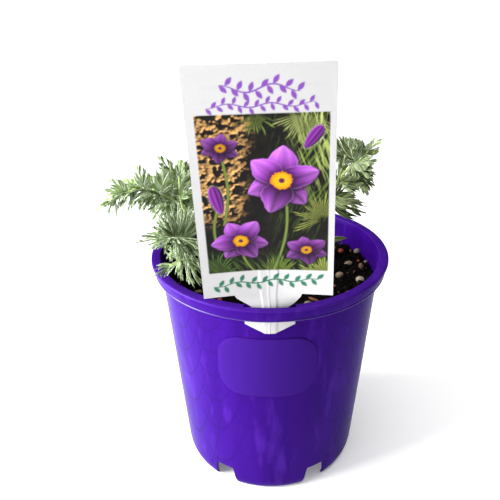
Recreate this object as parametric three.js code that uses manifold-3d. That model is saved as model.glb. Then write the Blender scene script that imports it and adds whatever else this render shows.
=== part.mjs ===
import * as THREE from 'three';
import { mergeVertices } from 'three/addons/utils/BufferGeometryUtils.js';
import Module from 'manifold-3d';

// A pasque flower in leaf, growing in a round plastic nursery pot with a lock-in plant label.
// Millimetres, +Z up, the label facing -Y. The pot's axis stands at POT_X, POT_Y, so that the
// middle of the whole plant and pot, the long left leaf included, is over the origin.
const POT_X = 15.6;
const POT_Y = 3.2;

// Pot
const POT_HEIGHT = 150;
const RIM_RADIUS = 75;
const RIM_INNER_RADIUS = 70;
const SKIRT_BOTTOM_Z = 141.75;
const SKIRT_BOTTOM_RADIUS = 73.1;
const SKIRT_INNER_RADIUS = 72;
const FLANGE_THICKNESS = 1.6;
const WALL_THICKNESS = 1.5;
const WALL_FOOT_Z = 20;
const WALL_FOOT_RADIUS = 60.2;
const WALL_TAPER = 0.075;
const FLANGE_FILLET = 2;
const RIM_EDGE_DROP = 1.3;
const RIM_EDGE_INSET = 0.9;
const LIP_INSET = 1;
const LIP_DROP = 0.6;
const LIP_DEPTH = 3;
const POT_SIDES = 48;

// Feet, notches and base plate. The wall's foot tucks in through the [radius, height] points of its curve
const FEET = 6;
const FOOT_INNER_RADIUS = 54.6;
const FOOT_CURVE = [[56, 0], [57.7, 2.2], [58.9, 6]];
const NOTCH_HEIGHT = 15;
const NOTCH_HALF_ANGLE = THREE.MathUtils.degToRad(8);
const NOTCH_CORNER = 2.5;
const NOTCH_CUT_DEPTH = 14;
const NOTCH_CUT_INSET = 2;
const CUT_BELOW_GROUND = 1;
const BASE_UNDERSIDE_Z = 15.6;
const BASE_TOP_Z = 17.2;
const DRAIN_RADIUS = 5;
const DRAIN_CIRCLE_RADIUS = 38;
const DRAIN_CUT_DEPTH = 6;
const DRAIN_SIDES = 10;

// Slot for the label in the front of the flange
const SLOT_WIDTH = 28.7;
const SLOT_INNER_RADIUS = 69.75;
const SLOT_OUTER_RADIUS = 71.85;
const SLOT_CUT_OVERSHOOT = 0.6;

// Soil, mounded a little towards +X
const SOIL_EDGE_Z = 133;
const SOIL_GAP = 0.5;
const SOIL_BASE_GAP = 0.4;
const SOIL_DIP = 1;
const MOUND_START_X = 30;
const MOUND_SLOPE = 0.04;
const SOIL_SIDES = 26;
const SOIL_RING_RADII = [55, 40, 25];
const SOIL_BUMP = 1.3;

// Rootstock: its rings are [share of its radius, height]; round its top stand pointed buds
const ROOTSTOCK_TOP_Z = 139;
const ROOTSTOCK_BOTTOM_Z = 92;
const ROOTSTOCK_RADIUS = 4.6;
const ROOTSTOCK_TIP_RADIUS = 1.2;
const ROOTSTOCK_TIP_LENGTH = 2;
const ROOTSTOCK_SHOULDER_DROP = 1.4;
const ROOTSTOCK_RINGS = [[0.75, 112], [1, 128], [0.95, 134]];
const ROOTSTOCK_SHOULDER_SHARE = 0.6;
const ROOTSTOCK_SIDES = 10;
const FIT_GAP = 0.6;
const BUDS = 4;
const BUD_RADIUS = 1.5;
const BUD_LENGTH = 6.5;
const BUD_SIDES = 6;
const BUD_LEAN = 0.25;
const BUD_OUT = 2.6;
const BUD_MIDDLE_Z = 139.6;
const FIRST_BUD = 0.3;

// Label
const TAG_THICKNESS = 0.6;
const TAG_HALF_WIDTH = 33.65;
const TAG_HEIGHT = 118.9;
const TAG_FOOT = new THREE.Vector3(-0.85, -74, 158);
const TAG_UP = new THREE.Vector3(-4.05, -7.7, 118.6).normalize();
const TAG_BACK = new THREE.Vector3(0, 1, 0.065).normalize();
const TAG_SAG = 4;
const TAG_SAG_POWER = 1.5;
const TAG_BOW_POWER = 1.35;
const TAG_WALL_GAP = 0.5;
const TAG_TUCK = 0.6;
const TAG_TUCK_LENGTH = 4;
const TAG_FOOT_RISE = 0.26;
const TAG_FOOT_TILT = 0.037;
const TAG_NECK_HALF_WIDTH = 17.6;
const TAG_SLOT_HALF_WIDTH = 10.1;
const TAG_BARB_HALF_WIDTH = 13.7;
const TAG_POINT_HALF_WIDTH = 2.9;
const TAG_SLOT_DROP = 8.3;
const TAG_BARB_TOP_DROP = 10.7;
const TAG_BARB_SIDE_DROP = 20.2;
const TAG_POINT_DROP = 25.9;
const TAG_BARB_UNDERCUT = 0.3;
const TAG_BOWL_DROPS = [7.3, 5, 2.5];
const TAG_FACE_ROWS = [0, 20, 45, 75, TAG_HEIGHT];

// Blank panel on the wall
const STICKER_WIDTH = 58.7;
const STICKER_HEIGHT = 42.8;
const STICKER_CENTRE_Z = 106;
const STICKER_OFFSET = -1.6;
const STICKER_CORNER = 12;
const STICKER_THICKNESS = 0.6;
const STICKER_GAP = 0.45;

// Leaves
const BLADE_THICKNESS = 0.7;
const LEAFLET_ROLL = 0.5;
const EDGE_DROOP = 0.1;
const LIFT_STEP = 0.14;
const LAST_PAIR_PLACE = 0.9;
const LAST_PAIR_SPREAD = 38;
const LAST_PAIR_SHRINK = 0.34;
const PAIR_STAGGER = 0.012;
const END_LEAFLET_PLACE = 0.97;
const END_LEAFLET_SHARE = 0.62;
const SIMPLE_BLADE_HALF_WIDTH = 0.17;
const SIMPLE_BLADE_OUTLINE = [[0, -0.6], [0.3, -1], [0.62, -0.7], [1, 0], [0.62, 0.7], [0.3, 1], [0, 0.6]];

// Lobes of a leaflet, in shares of its length; degrees from its rib
const FIRST_LOBE = 0.32;
const LOBED_STRETCH = 0.42;
const LOBE_STAGGER = 0.12;
const LOBE_REACH = 0.42;
const LOBE_REACH_STEP = 0.075;
const LOBE_ANGLE = 44;
const LOBE_ANGLE_STEP = 8;
const END_LOBE_START = 0.12;
const RIB_HALF_WIDTH = 0.65;
const SHOULDER_HALF_WIDTH = 0.95;
const SHOULDER_FULL_LENGTH = 16;
const END_SHOULDER_EXTRA = 0.15;

// Stalks and their holes
const STALK_SIDES = 5;
const STALK_FOOT_RADIUS = 1.5;
const RIB_TIP_RADIUS = 0.55;
const STALK_STEPS = 9;
const HOLE_CLEARANCE = 0.75;
const HOLE_TOP_Z = 138;
const HOLE_EXTRA_DEPTH = 2;

const wasm = await Module();
wasm.setup();

// A closed geometry with only shared positions left, ready to be joined or cut
function bare(geometry) {
  geometry.deleteAttribute('normal');
  geometry.deleteAttribute('uv');
  return mergeVertices(geometry, 1e-4);
}

function toSolid(geometry) {
  const merged = bare(geometry);
  const positions = Float32Array.from(merged.attributes.position.array);
  const triangles = Uint32Array.from(merged.index.array);
  return new wasm.Manifold(new wasm.Mesh({ numProp: 3, vertProperties: positions, triVerts: triangles }));
}

function toGeometry(solid) {
  const result = solid.getMesh();
  const geometry = new THREE.BufferGeometry();
  geometry.setAttribute('position', new THREE.BufferAttribute(Float32Array.from(result.vertProperties), 3));
  geometry.setIndex(new THREE.BufferAttribute(Uint32Array.from(result.triVerts), 1));
  geometry.computeVertexNormals();
  return geometry;
}

function makeMesh(name, solid, color, roughness) {
  const material = new THREE.MeshStandardMaterial({ color, roughness, metalness: 0 });
  const mesh = new THREE.Mesh(toGeometry(solid), material);
  mesh.name = name;
  return mesh;
}

// Moves every vertex of a geometry to the place that a function gives for it
function reshape(geometry, place) {
  const positions = geometry.attributes.position;
  for (let i = 0; i < positions.count; i += 1) {
    const point = place(positions.getX(i), positions.getY(i), positions.getZ(i));
    positions.setXYZ(i, point.x, point.y, point.z);
  }
  return geometry;
}

// A turned solid from [radius, height] points, its axis along +Z
function lathe(points, sides) {
  const profile = points.map(([radius, height]) => new THREE.Vector2(radius, height));
  return new THREE.LatheGeometry(profile, sides).rotateX(Math.PI / 2);
}

// A repeatable number from -1 to 1 for each key
function jitter(key) {
  const value = Math.sin(key * 12.9898) * 43758.5453;
  return 2 * (value - Math.floor(value)) - 1;
}

function wallRadius(z) {
  return WALL_FOOT_RADIUS + WALL_TAPER * (z - WALL_FOOT_Z);
}

function innerRadius(z) {
  return wallRadius(z) - WALL_THICKNESS;
}

// A notch's outline with rounded top corners, run along the radius to cut through the wall's foot
function notchCutter(angle) {
  const half = wallRadius(0) * Math.sin(NOTCH_HALF_ANGLE);
  const shape = new THREE.Shape();
  shape.moveTo(-half, -CUT_BELOW_GROUND);
  shape.lineTo(half, -CUT_BELOW_GROUND);
  shape.lineTo(half, NOTCH_HEIGHT - NOTCH_CORNER);
  shape.quadraticCurveTo(half, NOTCH_HEIGHT, half - NOTCH_CORNER, NOTCH_HEIGHT);
  shape.lineTo(NOTCH_CORNER - half, NOTCH_HEIGHT);
  shape.quadraticCurveTo(-half, NOTCH_HEIGHT, -half, NOTCH_HEIGHT - NOTCH_CORNER);
  const options = { depth: NOTCH_CUT_DEPTH, bevelEnabled: false, curveSegments: 3 };
  const inward = -wallRadius(0) + NOTCH_CUT_DEPTH / 2 + NOTCH_CUT_INSET;
  const geometry = new THREE.ExtrudeGeometry(shape, options).rotateX(Math.PI / 2);
  return toSolid(geometry.translate(0, inward, 0).rotateZ(angle));
}

// The curved slot, an arc-shaped block through the flange
function slotCutter() {
  const halfAngle = SLOT_WIDTH / (SLOT_INNER_RADIUS + SLOT_OUTER_RADIUS);
  const front = -Math.PI / 2;
  const shape = new THREE.Shape();
  shape.absarc(0, 0, SLOT_OUTER_RADIUS, front - halfAngle, front + halfAngle, false);
  shape.absarc(0, 0, SLOT_INNER_RADIUS, front + halfAngle, front - halfAngle, true);
  const depth = FLANGE_THICKNESS + 2 * SLOT_CUT_OVERSHOOT;
  const geometry = new THREE.ExtrudeGeometry(shape, { depth, bevelEnabled: false, curveSegments: 6 });
  return toSolid(geometry.translate(0, 0, POT_HEIGHT - depth + SLOT_CUT_OVERSHOOT));
}

function buildPot() {
  const underFlange = POT_HEIGHT - FLANGE_THICKNESS;
  const profile = [
    [0, BASE_UNDERSIDE_Z],
    [innerRadius(BASE_UNDERSIDE_Z), BASE_UNDERSIDE_Z],
    [FOOT_INNER_RADIUS, 0],
    ...FOOT_CURVE,
    [WALL_FOOT_RADIUS, WALL_FOOT_Z],
    [wallRadius(underFlange - FLANGE_FILLET), underFlange - FLANGE_FILLET],
    [SLOT_INNER_RADIUS - 0.1, underFlange],
    [SKIRT_INNER_RADIUS + 0.2, underFlange],
    [SKIRT_INNER_RADIUS, SKIRT_BOTTOM_Z],
    [SKIRT_BOTTOM_RADIUS, SKIRT_BOTTOM_Z],
    [RIM_RADIUS, POT_HEIGHT - RIM_EDGE_DROP],
    [RIM_RADIUS - RIM_EDGE_INSET, POT_HEIGHT],
    [RIM_INNER_RADIUS, POT_HEIGHT],
    [RIM_INNER_RADIUS - LIP_INSET, POT_HEIGHT - LIP_DROP],
    [innerRadius(POT_HEIGHT - LIP_DEPTH), POT_HEIGHT - LIP_DEPTH],
    [innerRadius(BASE_TOP_Z), BASE_TOP_Z],
    [0, BASE_TOP_Z],
  ];
  let pot = toSolid(lathe(profile, POT_SIDES)).subtract(slotCutter());
  for (let i = 0; i < FEET; i += 1) {
    const angle = (i + 0.5) * (2 * Math.PI) / FEET;
    pot = pot.subtract(notchCutter(angle));
    const drain = new THREE.CylinderGeometry(DRAIN_RADIUS, DRAIN_RADIUS, DRAIN_CUT_DEPTH, DRAIN_SIDES)
      .rotateX(Math.PI / 2).translate(0, -DRAIN_CIRCLE_RADIUS, BASE_TOP_Z).rotateZ(angle);
    pot = pot.subtract(toSolid(drain));
  }
  return makeMesh('pot', pot, 0x5f32be, 0.3);
}

// The height of the soil's top: a low mound with lumps from three crossing waves
function soilHeight(x, y) {
  const lumps = Math.sin(0.19 * x + 1.3) * Math.cos(0.23 * y + 0.4) + Math.sin(0.37 * x - 0.31 * y);
  const mound = MOUND_SLOPE * Math.max(0, x - MOUND_START_X);
  return SOIL_EDGE_Z - SOIL_DIP + mound + SOIL_BUMP * 0.5 * lumps;
}

// A tapered carrot of a rootstock, grown on every side by a given amount
function rootstockShape(grow) {
  const profile = [
    [0, ROOTSTOCK_BOTTOM_Z - grow],
    [ROOTSTOCK_TIP_RADIUS + grow, ROOTSTOCK_BOTTOM_Z + ROOTSTOCK_TIP_LENGTH],
    ...ROOTSTOCK_RINGS.map(([share, z]) => [ROOTSTOCK_RADIUS * share + grow, z]),
    [ROOTSTOCK_RADIUS * ROOTSTOCK_SHOULDER_SHARE + grow, ROOTSTOCK_TOP_Z - ROOTSTOCK_SHOULDER_DROP + grow],
    [0, ROOTSTOCK_TOP_Z + grow],
  ];
  return toSolid(lathe(profile, ROOTSTOCK_SIDES));
}

function buildRootstock() {
  let rootstock = rootstockShape(0);
  for (let i = 0; i < BUDS; i += 1) {
    const bud = new THREE.ConeGeometry(BUD_RADIUS, BUD_LENGTH, BUD_SIDES).rotateX(Math.PI / 2 - BUD_LEAN)
      .translate(0, -BUD_OUT, BUD_MIDDLE_Z).rotateZ((i + FIRST_BUD) * (2 * Math.PI) / BUDS);
    rootstock = rootstock.add(toSolid(bud));
  }
  return makeMesh('rootstock', rootstock, 0x5a4632, 0.9);
}

function buildSoil(holes) {
  const bottom = BASE_TOP_Z + SOIL_BASE_GAP;
  const rings = SOIL_RING_RADII.map((radius) => [radius, SOIL_EDGE_Z]);
  const profile = [
    [0, bottom],
    [innerRadius(bottom) - SOIL_GAP, bottom],
    [innerRadius(SOIL_EDGE_Z) - SOIL_GAP, SOIL_EDGE_Z],
    ...rings,
    [0, SOIL_EDGE_Z],
  ];
  // The points of the flat top take their own height, and draw in where the wall is narrower there
  const geometry = reshape(lathe(profile, SOIL_SIDES), (x, y, z) => {
    if (z < SOIL_EDGE_Z - SOIL_DIP) {
      return { x, y, z };
    }
    const height = soilHeight(x, y);
    const shrink = Math.min(1, innerRadius(height) / innerRadius(SOIL_EDGE_Z));
    return { x: x * shrink, y: y * shrink, z: height };
  });
  let soil = toSolid(geometry).subtract(rootstockShape(FIT_GAP));
  for (const hole of holes) {
    soil = soil.subtract(hole);
  }
  return makeMesh('soil', soil, 0x2b211b, 1);
}

// A closed sheet of even thickness. Grids are lists of rows of flat [across, along] points; a grid
// shares its edge points with the next one, and place gives a flat point's spot on the near face.
function sheetSolid(grids, place, back) {
  const points = [];
  const keys = new Map();
  const indexOf = ([u, v]) => {
    const key = `${u.toFixed(3)} ${v.toFixed(3)}`;
    if (!keys.has(key)) {
      keys.set(key, points.length);
      points.push([u, v]);
    }
    return keys.get(key);
  };
  const faces = [];
  for (const rows of grids) {
    for (let r = 0; r + 1 < rows.length; r += 1) {
      for (let c = 0; c + 1 < rows[r].length; c += 1) {
        const [a, b] = [indexOf(rows[r][c]), indexOf(rows[r][c + 1])];
        const [d, e] = [indexOf(rows[r + 1][c]), indexOf(rows[r + 1][c + 1])];
        faces.push([a, b, e], [a, e, d]);
      }
    }
  }
  const count = points.length;
  const positions = [];
  for (const side of [0, 1]) {
    for (const [u, v] of points) {
      const spot = place(u, v).addScaledVector(back(u, v), side);
      positions.push(spot.x, spot.y, spot.z);
    }
  }
  const edges = new Set(faces.flatMap(([a, b, c]) => [`${a} ${b}`, `${b} ${c}`, `${c} ${a}`]));
  const triangles = [];
  for (const [a, b, c] of faces) {
    triangles.push(a, b, c, a + count, c + count, b + count);
  }
  for (const edge of edges) {
    const [a, b] = edge.split(' ').map(Number);
    if (!edges.has(`${b} ${a}`)) {
      triangles.push(a, b + count, b, a, a + count, b + count);
    }
  }
  const geometry = new THREE.BufferGeometry();
  geometry.setAttribute('position', new THREE.BufferAttribute(new Float32Array(positions), 3));
  geometry.setIndex(triangles);
  return toSolid(geometry);
}

// A point on the label's near face: s across, t up from the lower edge of its face. The face is
// hollowed down its middle towards the foot, and the part below follows the curve of the rim.
function tagPoint(s, t) {
  const tagRight = new THREE.Vector3().crossVectors(TAG_BACK, TAG_UP).normalize();
  const bow = (Math.abs(s) / TAG_HALF_WIDTH) ** TAG_BOW_POWER;
  if (t >= 0) {
    const sag = TAG_SAG * (1 - t / TAG_HEIGHT) ** TAG_SAG_POWER;
    return TAG_FOOT.clone().addScaledVector(tagRight, s).addScaledVector(TAG_UP, t)
      .addScaledVector(TAG_BACK, sag * (1 - bow));
  }
  const drop = -t;
  const z = TAG_FOOT.z + TAG_FOOT_RISE - drop;
  const ease = THREE.MathUtils.smoothstep(drop, 0, TAG_SLOT_DROP);
  const below = Math.max(0, drop - TAG_SLOT_DROP);
  const tuck = TAG_TUCK * THREE.MathUtils.smoothstep(below, 0, TAG_TUCK_LENGTH);
  const slotY = -(SLOT_INNER_RADIUS + SLOT_OUTER_RADIUS) / 2 - TAG_THICKNESS / 2;
  const clearOfWall = -(wallRadius(z) + TAG_WALL_GAP + TAG_THICKNESS);
  const y = drop < TAG_SLOT_DROP ? slotY : Math.max(slotY + tuck, clearOfWall);
  const arc = (s * s) / (2 * SLOT_OUTER_RADIUS);
  const start = TAG_FOOT.y + TAG_SAG * (1 - bow);
  return new THREE.Vector3(
    s + TAG_FOOT.x * (1 - ease),
    THREE.MathUtils.lerp(start, y + arc, ease),
    z + TAG_FOOT_TILT * s * (1 - ease),
  );
}

function rowOf(halfWidth, columns, t) {
  return columns.map((column) => [column * halfWidth, t]);
}

function buildTag() {
  const neckColumns = [-1, -0.5, -0.17, 0.17, 0.5, 1];
  const inner = neckColumns.map((column) => column * TAG_NECK_HALF_WIDTH / TAG_HALF_WIDTH);
  const faceColumns = [-1, -0.76, ...inner, 0.76, 1];
  const faceRows = TAG_FACE_ROWS.map((t) => rowOf(TAG_HALF_WIDTH, faceColumns, t));
  const bowl = (drop) => TAG_SLOT_HALF_WIDTH
    + (TAG_NECK_HALF_WIDTH - TAG_SLOT_HALF_WIDTH) * Math.sqrt(1 - (drop / TAG_SLOT_DROP) ** 2);
  const neckRows = [
    [TAG_POINT_DROP, TAG_POINT_HALF_WIDTH],
    [TAG_BARB_SIDE_DROP, TAG_BARB_HALF_WIDTH],
    [TAG_BARB_TOP_DROP, TAG_BARB_HALF_WIDTH],
    [TAG_BARB_TOP_DROP - TAG_BARB_UNDERCUT, TAG_SLOT_HALF_WIDTH],
    [TAG_SLOT_DROP, TAG_SLOT_HALF_WIDTH],
    ...TAG_BOWL_DROPS.map((drop) => [drop, bowl(drop)]),
    [0, TAG_NECK_HALF_WIDTH],
  ].map(([drop, halfWidth]) => rowOf(halfWidth, neckColumns, -drop));
  const thickness = TAG_BACK.clone().multiplyScalar(TAG_THICKNESS);
  return makeMesh('plant_tag', sheetSolid([neckRows, faceRows], tagPoint, () => thickness), 0xebeaeb, 0.35);
}

// The blank panel lies along the cone of the wall: u is arc length, v is height from its middle
function buildSticker() {
  const halfWidth = STICKER_WIDTH / 2;
  const halfHeight = STICKER_HEIGHT / 2;
  const heights = [-1, -0.97, -0.85, -0.62, -0.44, 0.44, 0.62, 0.85, 0.97, 1].map((k) => k * halfHeight);
  const columns = [-1, -0.75, -0.5, -0.25, 0, 0.25, 0.5, 0.75, 1];
  const rows = heights.map((v) => {
    const intoCorner = Math.max(0, Math.abs(v) - (halfHeight - STICKER_CORNER));
    const cut = STICKER_CORNER - Math.sqrt(Math.max(0, STICKER_CORNER ** 2 - intoCorner ** 2));
    return rowOf(halfWidth - cut, columns, v);
  });
  const outward = (u, v) => {
    const angle = (u + STICKER_OFFSET) / wallRadius(STICKER_CENTRE_Z + v);
    return new THREE.Vector3(Math.sin(angle), -Math.cos(angle), 0);
  };
  const place = (u, v) => {
    const z = STICKER_CENTRE_Z + v;
    const reach = wallRadius(z) + STICKER_GAP + STICKER_THICKNESS;
    return outward(u, v).multiplyScalar(reach).setZ(z);
  };
  const inward = (u, v) => outward(u, v).multiplyScalar(-STICKER_THICKNESS);
  return makeMesh('wall_sticker', sheetSolid([rows], place, inward), 0x48239e, 0.5);
}

// The flat outline of one leaflet: a narrow rib along +X with pointed lobes on both sides, each a
// little fuller at its shoulder, and one at the end
function leafletShape(length, pairs, key) {
  const shoulder = SHOULDER_HALF_WIDTH * Math.min(1, length / SHOULDER_FULL_LENGTH);
  const firstLobe = FIRST_LOBE * length;
  const step = LOBED_STRETCH * length / pairs;
  const lastLobe = firstLobe + step * pairs;
  const side = (sign) => {
    const points = [[0, sign * RIB_HALF_WIDTH]];
    for (let j = 0; j < pairs; j += 1) {
      const start = firstLobe + step * (j + LOBE_STAGGER * sign);
      const spread = LOBE_ANGLE - LOBE_ANGLE_STEP * j + 5 * jitter(key + j + 3 * sign);
      const angle = THREE.MathUtils.degToRad(spread);
      const reach = length * (LOBE_REACH - LOBE_REACH_STEP * j) * (1 + 0.12 * jitter(key + 7 * j + sign));
      const along = [Math.cos(angle), Math.sin(angle)];
      const across = [-Math.sin(angle), Math.cos(angle)];
      const at = (distance, offset) => [
        start + along[0] * distance + across[0] * offset,
        sign * (RIB_HALF_WIDTH + along[1] * distance + across[1] * offset),
      ];
      points.push([start, sign * RIB_HALF_WIDTH], at(0.5 * reach, shoulder), at(reach, 0));
    }
    points.push([lastLobe, sign * RIB_HALF_WIDTH]);
    points.push([lastLobe + END_LOBE_START * length, sign * (shoulder + END_SHOULDER_EXTRA)]);
    return points;
  };
  const outline = [...side(-1), [length, 0], ...side(1).reverse()];
  return new THREE.Shape(outline.map(([x, y]) => new THREE.Vector2(x, y)));
}

// Gives a leaf its curve and the fixed side that its frames are levelled by
function layOut(leaf) {
  leaf.curve = new THREE.CatmullRomCurve3(leaf.path.map(([x, y, z]) => new THREE.Vector3(x, y, z)));
  const bladeWay = leaf.curve.getTangentAt(leaf.bladeStart);
  leaf.side = new THREE.Vector3(...leaf.upper).cross(bladeWay).normalize();
}

// The frame at a place along a leaf: its point, the way on, the upper side and the left side
function leafFrame(leaf, fraction) {
  const point = leaf.curve.getPointAt(fraction);
  const onward = leaf.curve.getTangentAt(fraction);
  const left = leaf.side.clone().addScaledVector(onward, -leaf.side.dot(onward)).normalize();
  const upper = new THREE.Vector3().crossVectors(onward, left);
  return { point, onward, upper, left };
}

// The round section of a stalk as a polygon of radius 1
function stalkSection(sides) {
  const corners = Array.from({ length: sides }, (_, i) => 2 * Math.PI * i / sides);
  return new THREE.Shape(corners.map((angle) => new THREE.Vector2(Math.cos(angle), Math.sin(angle))));
}

// The stalk and midrib as one tapering tube that follows the leaf's curve
function stalkSolid(leaf) {
  const options = { depth: 1, steps: leaf.steps ?? STALK_STEPS, bevelEnabled: false };
  const geometry = new THREE.ExtrudeGeometry(stalkSection(STALK_SIDES), options);
  const foot = leaf.footRadius ?? STALK_FOOT_RADIUS;
  const tube = reshape(geometry, (x, y, z) => {
    const { point, upper, left } = leafFrame(leaf, Math.min(z, 1));
    const radius = THREE.MathUtils.lerp(foot, RIB_TIP_RADIUS, z ** 1.2);
    return point.addScaledVector(left, x * radius).addScaledVector(upper, y * radius);
  });
  return toSolid(tube);
}

// The plain hole that a stalk stands in: the same tube as the stalk's foot, wider, a little deeper and
// ending above the soil
function stalkHole(leaf) {
  const stalkSteps = leaf.steps ?? STALK_STEPS;
  let steps = 1;
  while (leaf.curve.getPointAt(steps / stalkSteps).z < HOLE_TOP_Z) {
    steps += 1;
  }
  const reach = steps / stalkSteps;
  const options = { depth: 1, steps, bevelEnabled: false };
  const geometry = new THREE.ExtrudeGeometry(stalkSection(STALK_SIDES), options);
  const wide = (leaf.footRadius ?? STALK_FOOT_RADIUS) + HOLE_CLEARANCE;
  const bore = reshape(geometry, (x, y, z) => {
    const { point, upper, left } = leafFrame(leaf, reach * z);
    const deeper = z === 0 ? -HOLE_EXTRA_DEPTH : 0;
    return point.addScaledVector(left, x * wide).addScaledVector(upper, y * wide)
      .add(new THREE.Vector3(0, 0, deeper));
  });
  return toSolid(bore);
}

// One leaflet on the leaf: its flat outline turned to its angle, lifted and arched down to its tip
function leafletSolid(leaf, { fraction, turn, lift, length, pairs, key }) {
  const frame = leafFrame(leaf, fraction);
  const way = frame.onward.clone().multiplyScalar(Math.cos(turn)).addScaledVector(frame.left, Math.sin(turn));
  way.multiplyScalar(Math.cos(lift)).addScaledVector(frame.upper, Math.sin(lift)).normalize();
  const level = frame.upper.clone().addScaledVector(way, -frame.upper.dot(way)).normalize();
  const normal = level.applyAxisAngle(way, Math.sign(turn) * LEAFLET_ROLL);
  const across = new THREE.Vector3().crossVectors(normal, way);
  const shape = leafletShape(length, pairs, key);
  const geometry = new THREE.ExtrudeGeometry(shape, { depth: 1, bevelEnabled: false });
  const arch = leaf.arch * length;
  const blade = reshape(geometry, (x, y, z) => {
    const fall = arch * (x / length) ** 2 + EDGE_DROOP * Math.abs(y);
    return frame.point.clone().addScaledVector(way, x).addScaledVector(across, y)
      .addScaledVector(normal, (z - 0.5) * BLADE_THICKNESS - fall);
  });
  return toSolid(blade);
}

// A leaf: its stalk, pairs of leaflets from the foot of the blade to near its tip, and an end leaflet
function buildLeaf(name, leaf) {
  let solid = stalkSolid(leaf);
  for (let i = 0; i < leaf.pairs; i += 1) {
    const along = leaf.pairs > 1 ? i / (leaf.pairs - 1) : 0;
    for (const sign of [-1, 1]) {
      const key = leaf.key + 20 * i + 5 * sign;
      const fraction = THREE.MathUtils.lerp(leaf.bladeStart, LAST_PAIR_PLACE, along) + PAIR_STAGGER * sign;
      const spread = THREE.MathUtils.lerp(leaf.spread, LAST_PAIR_SPREAD, along);
      const turn = THREE.MathUtils.degToRad(spread + 7 * jitter(key));
      const length = leaf.leaflet * (1 - LAST_PAIR_SHRINK * along) * (1 + 0.1 * jitter(key + 2));
      const lift = leaf.lift + LIFT_STEP * i;
      const pairs = i === 0 ? 3 : 2;
      solid = solid.add(leafletSolid(leaf, { fraction, turn: sign * turn, lift, length, pairs, key }));
    }
  }
  const length = END_LEAFLET_SHARE * leaf.leaflet;
  const end = { fraction: END_LEAFLET_PLACE, turn: 0, lift: 0, length, pairs: 2, key: leaf.key + 90 };
  solid = solid.add(leafletSolid(leaf, end));
  return makeMesh(name, solid, leaf.color ?? 0x7c966e, 0.7);
}

// The simple leaf: one plain lance-shaped blade on a thin stalk. Its outline is in shares of the
// blade's length and half width
function buildSimpleLeaf(name, leaf) {
  const half = leaf.leaflet * SIMPLE_BLADE_HALF_WIDTH;
  const outline = SIMPLE_BLADE_OUTLINE.map(([x, y]) => new THREE.Vector2(x * leaf.leaflet, y * half));
  const shape = new THREE.Shape(outline);
  const geometry = new THREE.ExtrudeGeometry(shape, { depth: 1, bevelEnabled: false });
  const { point, onward, upper, left } = leafFrame(leaf, leaf.bladeStart);
  const blade = reshape(geometry, (x, y, z) => {
    const height = (z - 0.5) * BLADE_THICKNESS - leaf.arch * x * x / leaf.leaflet;
    return point.clone().addScaledVector(onward, x).addScaledVector(left, y).addScaledVector(upper, height);
  });
  return makeMesh(name, stalkSolid(leaf).add(toSolid(blade)), 0x6e8f52, 0.6);
}

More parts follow.
